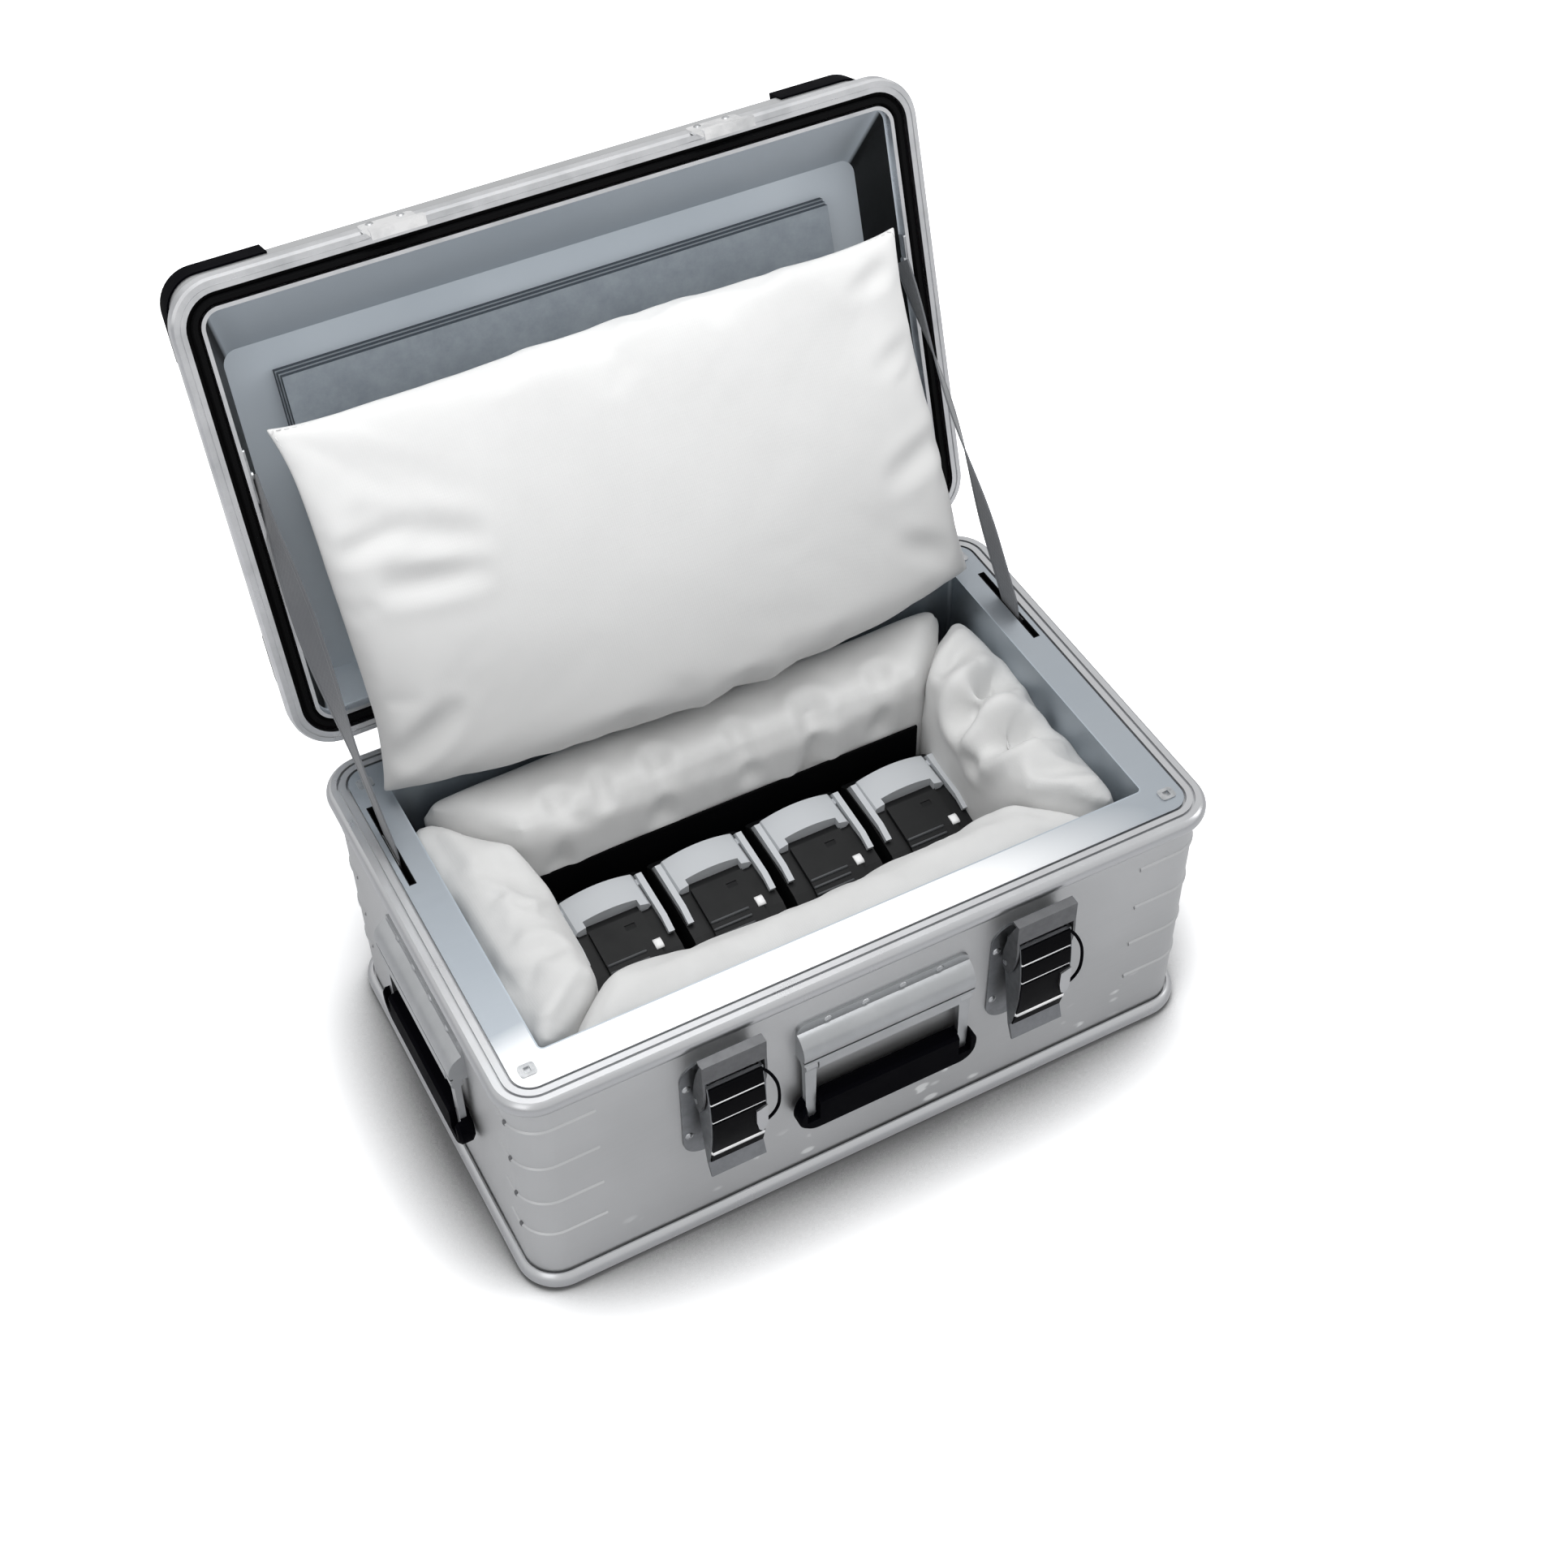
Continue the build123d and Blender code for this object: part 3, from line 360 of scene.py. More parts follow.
# The base profiles and the lid rim are one extruded aluminium in two tones: the lid rim's lighter colour is
# painted light and the profiles' darker one is painted shade.
profile_metal = extruded("extruded aluminium", "#b6b7b9", 0.26)
lid_rim_painted_light = extruded("extruded aluminium, lid", "#d4d5d7", 0.25)
handle_metal = extruded("extruded aluminium, handle housings", "#a6a8aa", 0.32)

# %% Hardware steel
def hardware(name, colour, roughness, worn="#8f9193"):
    """Bright zinc-plated steel with fine pressing grain."""
    material, tree, shader = new_material(name, Metallic=1.0)
    clouds = noise_of(tree, position(tree), 120, 4, 0.65)
    tree.links.new(blend_colours(tree, spread(tree, clouds, 0.4, 0.7), colour, worn),
                   shader.inputs["Base Color"])
    tree.links.new(spread(tree, clouds, 0.3, 0.7, roughness, roughness + 0.12), shader.inputs["Roughness"])
    return material


steel = hardware("zinc plated steel", "#b4b6b8", 0.26)
latch_steel = hardware("pressed steel, latches", "#7e8083", 0.32, "#76787b")
# The claws, and the bead ends, get a darker steel as painted shade.
dark_steel_painted_shade = hardware("pressed steel darkened as painted shade", "#68696b", 0.38, "#626365")
keeper_steel = extruded("polished steel, keepers", "#f6f6f6", 0.2)


# %% Black mouldings
def moulding(name, colour, roughness, shine=0.12, grain_mm=0.6, depth=0.00004):
    """Moulded plastic with a fine spark-eroded grain."""
    material, tree, shader = new_material(name, IOR=1.5, Specular_IOR_Level=shine)
    shader.inputs["Base Color"].default_value = linear(colour)
    grain = noise_of(tree, position(tree), 1000 / grain_mm, 2)
    clouds = noise_of(tree, position(tree), 30, 3)
    tree.links.new(spread(tree, clouds, 0.3, 0.7, roughness, roughness + 0.12), shader.inputs["Roughness"])
    tree.links.new(bump(tree, grain, depth), shader.inputs["Normal"])
    return material


black_nylon = moulding("glass-filled black nylon", "#030306", 0.6, 0.02)
band_black = moulding("black lacquered ABS band", "#010103", 0.4, 0.03)
tray_black = moulding("vacuum formed black ABS", "#040405", 0.6, 0.03)
pack_black = moulding("black ABS housing", "#101112", 0.45, 0.2)
pack_panel = moulding("dark grey ABS panel", "#4d4f51", 0.5, 0.3)
pack_grey = moulding("grey ABS cover", "#bcbfc2", 0.38, 0.4)
pack_white = moulding("white ABS button", "#f0f0f0", 0.4, 0.4)
seal_black = moulding("black EPDM rubber", "#060607", 0.65, 0.08)

# %% Fire board
LID_TURN = math.radians(108)    # how far the lid stands open at rest
board, board_tree, board_shader = new_material("mineral fibre fire board", Roughness=0.8)
fibres = noise_of(board_tree, position(board_tree), 60, 6, 0.7)
board_face = blend_colours(board_tree, spread(board_tree, fibres, 0.35, 0.65), "#858d95", "#949ca3")
square = facing(board_tree, (0, -math.sin(LID_TURN), -math.cos(LID_TURN)), 0.3, 0.6)
board_tree.links.new(blend_colours(board_tree, square, "#3b4249", board_face),
                     board_shader.inputs["Base Color"])


# %% Woven cloth
def woven(name, colour, shade, thread_mm=1.2, roughness=0.75, depth=0.00012, painted_shade_below=None):
    """Plain weave cloth: crossed bands on the piece's own position, with soft sheen.

    The last argument is the height in metres below which the cloth greys, as painted shade,
    and the grey it reaches."""
    material, tree, shader = new_material(name, Roughness=roughness, Sheen_Weight=0.25, Sheen_Roughness=0.5)
    per_metre = 1000 / thread_mm / 2
    heights = []
    for axis in ("X", "Y", "Z"):
        wave = add_node(tree, "ShaderNodeTexWave", {"Vector": position(tree)}, bands_direction=axis,
                        Scale=per_metre * 0.314, Distortion=0.6, Detail=1.0)
        heights.append(wave.outputs["Fac"])
    total = add_node(tree, "ShaderNodeMath", {0: heights[0], 1: heights[1]}, operation="ADD")
    total = add_node(tree, "ShaderNodeMath", {0: total.outputs[0], 1: heights[2]}, operation="ADD")
    clouds = noise_of(tree, position(tree), 14, 5, 0.6)
    tint = blend_colours(tree, spread(tree, clouds, 0.35, 0.7), colour, shade)
    if painted_shade_below:
        # painted shade: the cloth greys towards the bottom
        up = add_node(tree, "ShaderNodeSeparateXYZ", {"Vector": position(tree)}).outputs["Z"]
        tint = blend_colours(tree, spread(tree, up, painted_shade_below[0] - 0.25, painted_shade_below[0], 1, 0), tint, painted_shade_below[1])
    tree.links.new(tint, shader.inputs["Base Color"])
    tree.links.new(bump(tree, total.outputs[0], depth, 0.35), shader.inputs["Normal"])
    return material


# The pads' cloth is a darker copy of the pillow's, as painted shade in the well.
pad_cloth_painted_shade = woven("glass fibre cloth, well pads", "#cfcfce", "#c6c6c5", 0.9, depth=0.00004)
# The pillow greys lower down as painted shade.
pillow_cloth = woven("glass fibre cloth, pillow", "#e8e8e7", "#e2e2e1", 0.9, depth=0.00003,
                     painted_shade_below=(0.5, "#bcbcbb"))
webbing = woven("grey polyester webbing", "#5f6164", "#54565a", 1.6, 0.65)
thread = woven("white polyester thread", "#e2e2e1", "#dadad9", 0.8, 0.7)

# %% Give every CAD node its finish
FINISH = {
    "base_shell": sheet_metal, "lid_shell": lid_metal, "inner_liner": liner_wall_metal,
    "liner_flange": liner_metal, "lid_liner": lid_liner_painted_light_and_shade, "base_rim": profile_metal,
    "skid_profile": profile_metal, "lid_rim": lid_rim_painted_light, "lid_seal": seal_black,
    "lid_board": board, "pack_tray": tray_black, "stacking_corners": black_nylon,
}
ENDINGS = {
    "_bands": band_black, "_grip": black_nylon, "_bracket": handle_metal, "_bail": handle_metal,
    "_cap": pack_grey, "_case": pack_black, "_pad": pad_cloth_painted_shade, "_pillow": pillow_cloth,
    "keeper_left": keeper_steel, "keeper_right": keeper_steel,
    "_lever": latch_steel, "_claw": dark_steel_painted_shade, "_plate": latch_steel,
}
for name, piece in nodes.items():
    finish = FINISH.get(name) or next((f for end, f in ENDINGS.items() if name.endswith(end)), steel)
    piece.data.materials.clear()
    piece.data.materials.append(finish)
print("finishes given:", len({piece.data.materials[0].name for piece in nodes.values()}))

# %% [markdown]
# ## Rivets
# Every fitting is held by blind rivets with low domed heads. The CAD model says where they are,
# as flat twelve-sided heads. Geometry Nodes put one modelled head on each of those places: a
# shallow dome on a short rim, with the pip that the mandrel leaves in the middle.

# %% Points on the CAD rivets
HINGE = Vector((0, 0.196, 0.247))


def lid_point(x, reach, depth):
    """A point of the open lid: reach from the hinge along the lid, depth from the rim inwards."""
    return Vector((x, HINGE.y - reach * math.cos(LID_TURN) + depth * math.sin(LID_TURN),
                   HINGE.z + reach * math.sin(LID_TURN) + depth * math.cos(LID_TURN)))


def head_places(node, middle):
    """Centre and outward direction of each separate head in a CAD node."""
    work = bmesh.new()
    work.from_mesh(nodes[node].data)
    bmesh.ops.remove_doubles(work, verts=work.verts, dist=1e-6)
    places, seen = [], set()
    for start in work.verts:
        if start in seen:
            continue
        island, waiting = {start}, [start]
        while waiting:
            vert = waiting.pop()
            for link in vert.link_edges:
                other = link.other_vert(vert)
                if other not in island:
                    island.add(other)
                    waiting.append(other)
        seen |= island
        faces = {face for vert in island for face in vert.link_faces}
        centre = sum((vert.co for vert in island), Vector()) / len(island)
        # the flat back of a head is its largest plane, so the sum over facets that share it wins
        normals = {}
        for face in faces:
            key = tuple(round(c, 2) for c in face.normal)
            normals[key] = normals.get(key, 0) + face.calc_area()
        direction = Vector(max(normals, key=normals.get)).normalized()
        if direction.dot(centre - middle) < 0:
            direction.negate()
        places.append((centre - direction * 0.6 * MM, direction))
    work.free()
    return places


# %% Geometry Nodes: a domed head on every point
def group_of(name, inputs):
    """An empty geometry tree with named inputs; returns the tree and its input node."""
    tree = bpy.data.node_groups.new(name, "GeometryNodeTree")
    tree.interface.new_socket("Geometry", in_out="INPUT", socket_type="NodeSocketGeometry")
    tree.interface.new_socket("Geometry", in_out="OUTPUT", socket_type="NodeSocketGeometry")
    for label, (kind, value) in inputs.items():
        socket = tree.interface.new_socket(label, in_out="INPUT", socket_type=kind)
        if value is not None:
            socket.default_value = value
    return tree, add_node(tree, "NodeGroupInput")


def finish_group(tree, geometry, material):
    """Ends a tree: instances made real, smooth, and given their material."""
    real = add_node(tree, "GeometryNodeRealizeInstances", {"Geometry": geometry})
    smooth = add_node(tree, "GeometryNodeSetShadeSmooth", {"Geometry": real.outputs[0]})
    painted = add_node(tree, "GeometryNodeSetMaterial", {"Geometry": smooth.outputs[0], "Material": material})
    add_node(tree, "NodeGroupOutput", {"Geometry": painted.outputs[0]})


def apply_group(piece, tree, values):
    """Adds the tree as a modifier, sets its inputs by identifier and turns the result into mesh."""
    modifier = piece.modifiers.new(tree.name, "NODES")
    modifier.node_group = tree
    for item in tree.interface.items_tree:
        if item.item_type == "SOCKET" and item.in_out == "INPUT" and item.name in values:
            modifier[item.identifier] = values[item.name]
    bake(piece)


def bake(piece):
    """Turns a piece's modifiers into plain mesh."""
    graph = bpy.context.evaluated_depsgraph_get()
    graph.update()
    solid = bpy.data.meshes.new_from_object(piece.evaluated_get(graph))
    old = piece.data
    piece.modifiers.clear()
    piece.data = solid
    bpy.data.meshes.remove(old)


def new_piece(name, vertices, faces, material=None, edges=()):
    """A mesh object at the origin, linked to the scene."""
    mesh = bpy.data.meshes.new(name)
    mesh.from_pydata([tuple(v) for v in vertices], list(edges), faces)
    if material:
        mesh.materials.append(material)
    made = bpy.data.objects.new(name, mesh)
    bpy.context.scene.collection.objects.link(made)
    return made


HEAD_PROFILE = ((0, 1.0), (0.16, 1.0), (0.2, 0.82), (0.55, 0.74), (0.85, 0.42), (1.0, 0.1), (1.0, -0.3))
HEAD_SIDES = 20


def head_mesh(name):
    """One rivet head of unit radius and unit height, turned from its profile."""
    vertices, faces = [(0, 0, HEAD_PROFILE[0][1])], []
    for radius, height in HEAD_PROFILE[1:]:
        for step in range(HEAD_SIDES):
            angle = 2 * math.pi * step / HEAD_SIDES
            vertices.append((radius * math.cos(angle), radius * math.sin(angle), height))
    ring = [[1 + row * HEAD_SIDES + step for step in range(HEAD_SIDES)]
            for row in range(len(HEAD_PROFILE) - 1)]
    for step in range(HEAD_SIDES):
        after = (step + 1) % HEAD_SIDES
        faces.append((0, ring[0][step], ring[0][after]))
        faces += [(low[step], high[step], high[after], low[after]) for high, low in zip(ring, ring[1:])]
    faces.append(tuple(reversed(ring[-1])))
    piece = new_piece(name, vertices, faces)
    bpy.context.scene.collection.objects.unlink(piece)
    return piece


placing_tree, placing_in = group_of("shapes_on_points", {
    "Shape": ("NodeSocketObject", None), "Size": ("NodeSocketVector", None),
    "Finish": ("NodeSocketMaterial", None)})
out_way = add_node(placing_tree, "GeometryNodeInputNamedAttribute", data_type="FLOAT_VECTOR")
out_way.inputs["Name"].default_value = "out"
turned = add_node(placing_tree, "FunctionNodeAlignRotationToVector",
                  {"Vector": out_way.outputs["Attribute"]}, axis="Z")
shape_info = add_node(placing_tree, "GeometryNodeObjectInfo", {"Object": placing_in.outputs["Shape"]})
shapes = add_node(placing_tree, "GeometryNodeInstanceOnPoints", {
    "Points": placing_in.outputs["Geometry"], "Instance": shape_info.outputs["Geometry"],
    "Rotation": turned.outputs[0], "Scale": placing_in.outputs["Size"]})
finish_group(placing_tree, shapes.outputs[0], placing_in.outputs["Finish"])
head = head_mesh("rivet_head")


def put_on(name, places, body, shape, size, finish):
    """One shape at each of the given places, as one piece that rides on a body."""
    piece = new_piece(name, [centre for centre, _ in places], [])
    out = piece.data.attributes.new("out", "FLOAT_VECTOR", "POINT")
    for index, (_, direction) in enumerate(places):
        out.data[index].vector = direction
    apply_group(piece, placing_tree, {"Shape": shape, "Size": [c * MM for c in size], "Finish": finish})
    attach(piece, body)
    print(name, len(places))
    return piece


case_middle = Vector((0, 0, 0.13))
lid_middle = lid_point(0, 0.196, 0.03)
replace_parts(put_on("case_rivet_heads", head_places("base_rivets", case_middle), "case", head,
                   (3.6, 3.6, 1.4), steel), "base_rivets")
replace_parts(put_on("lid_rivet_heads", head_places("lid_rivets", lid_middle), "lid", head,
                   (3, 3, 1.3), steel), "lid_rivets")

# %% [markdown]
# ## Small fittings
# The latch covers are black between bright raised ridges, with a small bright tab and a dark
# wire loop, for a seal, at the right of each. The packs have a row of vent ribs and a white
# button. The ribs are one bar, placed by Geometry Nodes where a probe finds the housing's top.

# %% Latch ridges, tabs and wire loops
WALL = 0.180                    # half depth of the tub at its front wall


def rounded_bar(name):
    """A bar of unit length along X and unit width, half round on its back."""
    section = [(-0.5, -0.3), (-0.5, 0.35), (-0.25, 0.85), (0.25, 0.85), (0.5, 0.35), (0.5, -0.3)]
    vertices = [(x, y, z) for x in (-0.5, -0.47, 0.47, 0.5) for y, z in
                (section if abs(x) < 0.48 else [(y * 0.7, min(z, 0.5)) for y, z in section])]
    faces = [(a * 6 + k, a * 6 + (k + 1) % 6, a * 6 + 6 + (k + 1) % 6, a * 6 + 6 + k)
             for a in range(3) for k in range(6)]
    faces += [(5, 4, 3, 2, 1, 0), (18, 19, 20, 21, 22, 23)]
    made = new_piece(name, vertices, faces)
    bpy.context.scene.collection.objects.unlink(made)
    return made


def face_outwards(piece):
    """Turns every face of a closed piece outwards."""
    work = bmesh.new()
    work.from_mesh(piece.data)
    bmesh.ops.recalc_face_normals(work, faces=work.faces)
    work.to_mesh(piece.data)
    work.free()


def tube(name, centres, radius, finish, sides=8):
    """A closed ring of wire through the given points."""
    vertices, faces, count = [], [], len(centres)
    for index, centre in enumerate(centres):
        way = (centres[(index + 1) % count] - centres[index - 1]).normalized()
        first = way.cross(Vector((0, 1, 0.01))).normalized()
        second = way.cross(first)
        vertices += [centre + (first * math.cos(a) + second * math.sin(a)) * radius
                     for a in (2 * math.pi * k / sides for k in range(sides))]
    for index in range(count):
        for k in range(sides):
            a, b = index * sides, (index + 1) % count * sides
            after = (k + 1) % sides
            faces.append((a + k, b + k, b + after, a + after))
    return new_piece(name, vertices, faces, finish)


def smooth_ring(corners, steps=7):
    """Points round a closed ring that passes the corners softly (Catmull-Rom)."""
    ring, count = [], len(corners)
    for index in range(count):
        a, b, c, d = (corners[(index + k) % count] for k in (-1, 0, 1, 2))
        for step in range(steps):
            t = step / steps
            ring.append(0.5 * (2 * b + (c - a) * t + (2 * a - 5 * b + 4 * c - d) * t ** 2
                               + (3 * b - 3 * c + d - a) * t ** 3))
    return ring


bar = rounded_bar("bar")
for side, x in (("left", -132), ("right", 132)):
    rides = f"latch_{side}"
    ridges = ((186.2, 22.4), (166.2, 23.9), (123.3, 22.3))
    places = [(Vector((x * MM, -WALL - out * MM, z * MM)), Vector((0, -1, 0))) for z, out in ridges]
    put_on(f"{rides}_ridges", places, rides, bar, (45, 4.4, 3.6), keeper_steel)
    loop = [(20, 22, 200), (27, 23, 193), (33, 25, 176), (33, 26, 154), (26, 26, 142), (20, 26.5, 146),
            (19.5, 22, 176)]
    loop = [Vector((x + across, -WALL / MM - out, z)) * MM for across, out, z in loop]
    wire = tube(f"{rides}_loop", smooth_ring(loop), 1.3 * MM, black_nylon)
    for face in wire.data.polygons:
        face.use_smooth = True
    tab_outline = [(22.4, 163), (22.4, 142), (21, 136), (18, 133), (15, 136), (13, 146), (13, 160)]
    flat = [Vector((x + across, -WALL / MM - out, z)) * MM
            for out in (27.3, 29.3) for across, z in tab_outline]
    ring = range(7)
    tab = new_piece(f"{rides}_tab", flat, [tuple(ring), tuple(7 + k for k in reversed(ring))]
                    + [(k, 7 + k, 7 + (k + 1) % 7, (k + 1) % 7) for k in ring], profile_metal)
    for piece, slot in ((wire, "black_plastic"), (tab, "bright_steel")):
        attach(piece, rides)

# %% Ends of the pressed beads
# Each bead runs out in a small pinch near the upright corners of the front, marked by a small dark head as
# painted shade.
pinches = []
for sign in (-1, 1):
    for level in (70, 112, 158, 204):
        start = Vector((sign * 0.42, -0.2, level * MM))
        hit, place, normal, _ = nodes["base_shell"].ray_cast(start, Vector((-sign, 0.33, 0)).normalized())
        if hit:
            pinches.append((place - normal * 0.6 * MM, normal))
put_on("bead_ends", pinches, "case", head, (4, 2.2, 1.0), dark_steel_painted_shade)

# %% Pack vents and buttons
def on_top(node, x, y):
    """Where a vertical probe meets the top of a CAD node, and the normal there."""
    hit, place, normal, _ = nodes[node].ray_cast(Vector((x * MM, y * MM, 0.3)), Vector((0, 0, -1)))
    return place, normal


for number in range(1, 5):
    x = -131 + 90 * (number - 1)
    vents = [on_top(f"pack_{number}_case", x - 6, y) for y in (-27, -32.5, -38, -43.5)]
    put_on(f"pack_{number}_vents", vents, f"pack_{number}", bar, (34, 2.2, 2.6), pack_panel)
    button = [on_top(f"pack_{number}_case", x + 22, -25)]
    put_on(f"pack_{number}_button", button, f"pack_{number}", bar, (7, 9, 2), pack_white)

# %% [markdown]
# ## Cushions
# Each cushion is a bag of glass cloth filled with light granulate. Flat cloth that is blown up
# cannot stay flat: its faces crown, its sides pull in between the corners, the corners stay as
# small ears and short folds run in from the seams. Blender's Cloth does the same from the same
# cause. The pillow starts as two flat sheets sewn round the edge, and the pads start from the CAD
# cushions. A few folds that the granulate presses in are then moved along short lines.

# %% Cloth and folds
def inflate(piece, pressure, frames, cap=None, tension=40, bending=0.5):
    """Blows the bag up with Cloth and keeps the result, with no point moved by more than cap."""
    before = [v.co.copy() for v in piece.data.vertices]
    settings = piece.modifiers.new("cloth", "CLOTH").settings
    settings.quality = 6
    settings.mass = 0.3
    settings.tension_stiffness = tension
    settings.compression_stiffness = tension / 5
    settings.shear_stiffness = tension / 5
    settings.bending_stiffness = bending
    settings.use_pressure = True
    settings.uniform_pressure_force = pressure
    settings.effector_weights.gravity = 0
    cache = piece.modifiers["cloth"].point_cache
    cache.frame_start, cache.frame_end = 1, frames
    for step in range(1, frames + 1):
        bpy.context.scene.frame_set(step)
    bake(piece)
    bpy.context.scene.frame_set(1)
    if cap:
        for vert, start in zip(piece.data.vertices, before):
            move = vert.co - start
            if move.length > cap:
                vert.co = start + move * (cap / move.length)


def press_folds(piece, folds):
    """Moves points in along short lines. A fold is two ends, a width and a depth, in millimetres."""
    mesh = piece.data
    moves = {}
    for first, last, width, depth in folds:
        first, last = Vector(first) * MM, Vector(last) * MM
        along = last - first
        for vert in mesh.vertices:
            share = max(0, min(1, (vert.co - first).dot(along) / along.length_squared))
            away = (vert.co - first - along * share).length / (width * MM)
            if away < 3:
                # a groove with a soft lip on each side, fading out towards its ends
                fade = 1 - 0.35 * abs(2 * share - 1) ** 2
                groove = math.exp(-away * away) - 0.35 * math.exp(-(away - 1.5) ** 2 / 0.5)
                moves[vert.index] = moves.get(vert.index, 0) + depth * MM * fade * groove
    normals = {index: mesh.vertices[index].normal.copy() for index in moves}
    for index, depth in moves.items():
        mesh.vertices[index].co -= normals[index] * depth
    mesh.update()


def unevenness(piece, per_metre, amount, squeeze=(1, 1, 1)):
    """Soft lumps of granulate, as smooth noise along the normals."""
    mesh = piece.data
    normals = [v.normal.copy() for v in mesh.vertices]
    for vert, normal in zip(mesh.vertices, normals):
        spot = Vector(c * k * per_metre for c, k in zip(vert.co, squeeze))
        vert.co += normal * noise.noise(spot) * amount
    mesh.update()


def dress(piece, finish, node, body):
    """Gives a cushion its cloth, one subdivision and its place in the model."""
    piece.data.materials.clear()
    piece.data.materials.append(finish)
    for face in piece.data.polygons:
        face.use_smooth = True
    smooth = piece.modifiers.new("subdivision", "SUBSURF")
    smooth.levels = smooth.render_levels = 1
    bake(piece)
    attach(piece, body)
    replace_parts(piece, node)
    low = Vector(min(v.co[a] for v in piece.data.vertices) for a in range(3))
    high = Vector(max(v.co[a] for v in piece.data.vertices) for a in range(3))
    print(piece.name, len(piece.data.polygons), "faces, mm", [round(c * 1000) for c in (*low, *high)])


# %% Pads round the well
VOXEL = 5.5 * MM
PAD_CAPS = {"back_pad": 5 * MM, "bottom_pad": 3 * MM}     # the others may swell by 11 mm


def bag_from(name, node, shrink):
    """A fresh closed mesh on the CAD cushion, a little smaller so that it can swell."""
    mesh = nodes[node].data.copy()
    piece = bpy.data.objects.new(name, mesh)
    bpy.context.scene.collection.objects.link(piece)
    work = bmesh.new()
    work.from_mesh(mesh)
    bmesh.ops.remove_doubles(work, verts=work.verts, dist=1e-5)
    bmesh.ops.recalc_face_normals(work, faces=work.faces)
    for vert in work.verts:
        vert.co -= vert.normal * shrink
    work.to_mesh(mesh)
    work.free()
    remesh = piece.modifiers.new("remesh", "REMESH")
    remesh.mode = "VOXEL"
    remesh.voxel_size = VOXEL
    bake(piece)
    return piece


PAD_FOLDS = {
    "left_pad": [((-243, 118, 236), (-236, -40, 238), 11, 13), ((-240, -40, 238), (-205, -52, 238), 10, 14),
                 ((-196, -96, 234), (-248, -134, 232), 10, 12), ((-210, 40, 240), (-190, 20, 232), 14, 10)],
    "right_pad": [((254, 40, 230), (186, 12, 220), 13, 26), ((240, 80, 236), (196, 62, 236), 11, 15),
                  ((256, -34, 230), (190, -24, 232), 14, 26), ((186, -20, 200), (204, -38, 238), 10, 14),
                  ((244, -92, 236), (205, -76, 240), 9, 14), ((246, -122, 234), (226, -100, 240), 8, 13),
                  ((222, -130, 234), (210, -110, 238), 8, 12)],
    "front_pad": [((60, -90, 230), (70, -104, 238), 16, 5), ((-70, -88, 228), (-60, -100, 238), 16, 4),
                  ((170, -92, 230), (200, -126, 234), 8, 5), ((150, -88, 226), (164, -100, 236), 10, 4)],
    "back_pad": [((-150, 66, 180), (-140, 84, 236), 9, 9), ((-60, 66, 186), (-52, 86, 238), 10, 10),
                 ((20, 66, 190), (16, 84, 238), 9, 7), ((75, 64, 170), (84, 78, 236), 12, 13),
                 ((140, 66, 186), (150, 84, 236), 9, 8), ((-105, 70, 222), (-100, 96, 240), 7, 7)],
    "bottom_pad": [],
}
for pad_name, folds in PAD_FOLDS.items():
    piece = bag_from(pad_name + "_cloth", pad_name, 2.5 * MM)
    inflate(piece, 5.0, 20, PAD_CAPS.get(pad_name, 11 * MM))
    unevenness(piece, 16, 2.2 * MM, (1, 1, 0.5))
    press_folds(piece, folds)
    dress(piece, pad_cloth_painted_shade, pad_name, "case")

# %% Pillow: two sheets sewn together
PILLOW_TURN = math.radians(118)
PILLOW_LINE = Vector((0, 0.129, 0.2563))    # the line that the pillow turns about
PILLOW_THICK = 84
CLOTH_CELL = 7.5                # millimetres
PILLOW_BACK = 0.4               # thickness behind the seam, as a share of that in front of it
along_lean = Vector((0, -math.cos(PILLOW_TURN), math.sin(PILLOW_TURN)))
out_front = Vector((0, -math.sin(PILLOW_TURN), -math.cos(PILLOW_TURN)))
pillow_foot = PILLOW_LINE - out_front * 1.2 * MM


def sewn_bag(name, width, length, cell):
    """Two flat grids that share their edge, a little puffed so that pressure can open them."""
    columns, rows = round(width / cell), round(length / cell)
    vertices, faces, index = [], [], {}
    for face_side in (1, -1):
        for i in range(columns + 1):
            for j in range(rows + 1):
                if face_side < 0 and (i in (0, columns) or j in (0, rows)):
                    index[-1, i, j] = index[1, i, j]
                    continue
                u, v = i / columns, j / rows
                puff = 6 * math.sin(math.pi * u) * math.sin(math.pi * v)
                lump = 1.5 * noise.noise(Vector((u * 9, v * 6, face_side * 4)))
                index[face_side, i, j] = len(vertices)
                height = face_side * (puff + abs(lump))
                vertices.append(Vector(((u - 0.5) * width, (v - 0.5) * length, height)) * MM)
        for i in range(columns):
            for j in range(rows):
                quad = [index[face_side, i + a, j + b] for a, b in ((0, 0), (1, 0), (1, 1), (0, 1))]
                faces.append(quad if face_side > 0 else quad[::-1])
    edge = [index[1, i, 0] for i in range(columns)] + [index[1, columns, j] for j in range(rows)]
    edge += [index[1, i, rows] for i in range(columns, 0, -1)] + [index[1, 0, j] for j in range(rows, 0, -1)]
    return new_piece(name, vertices, faces), edge, index, columns, rows


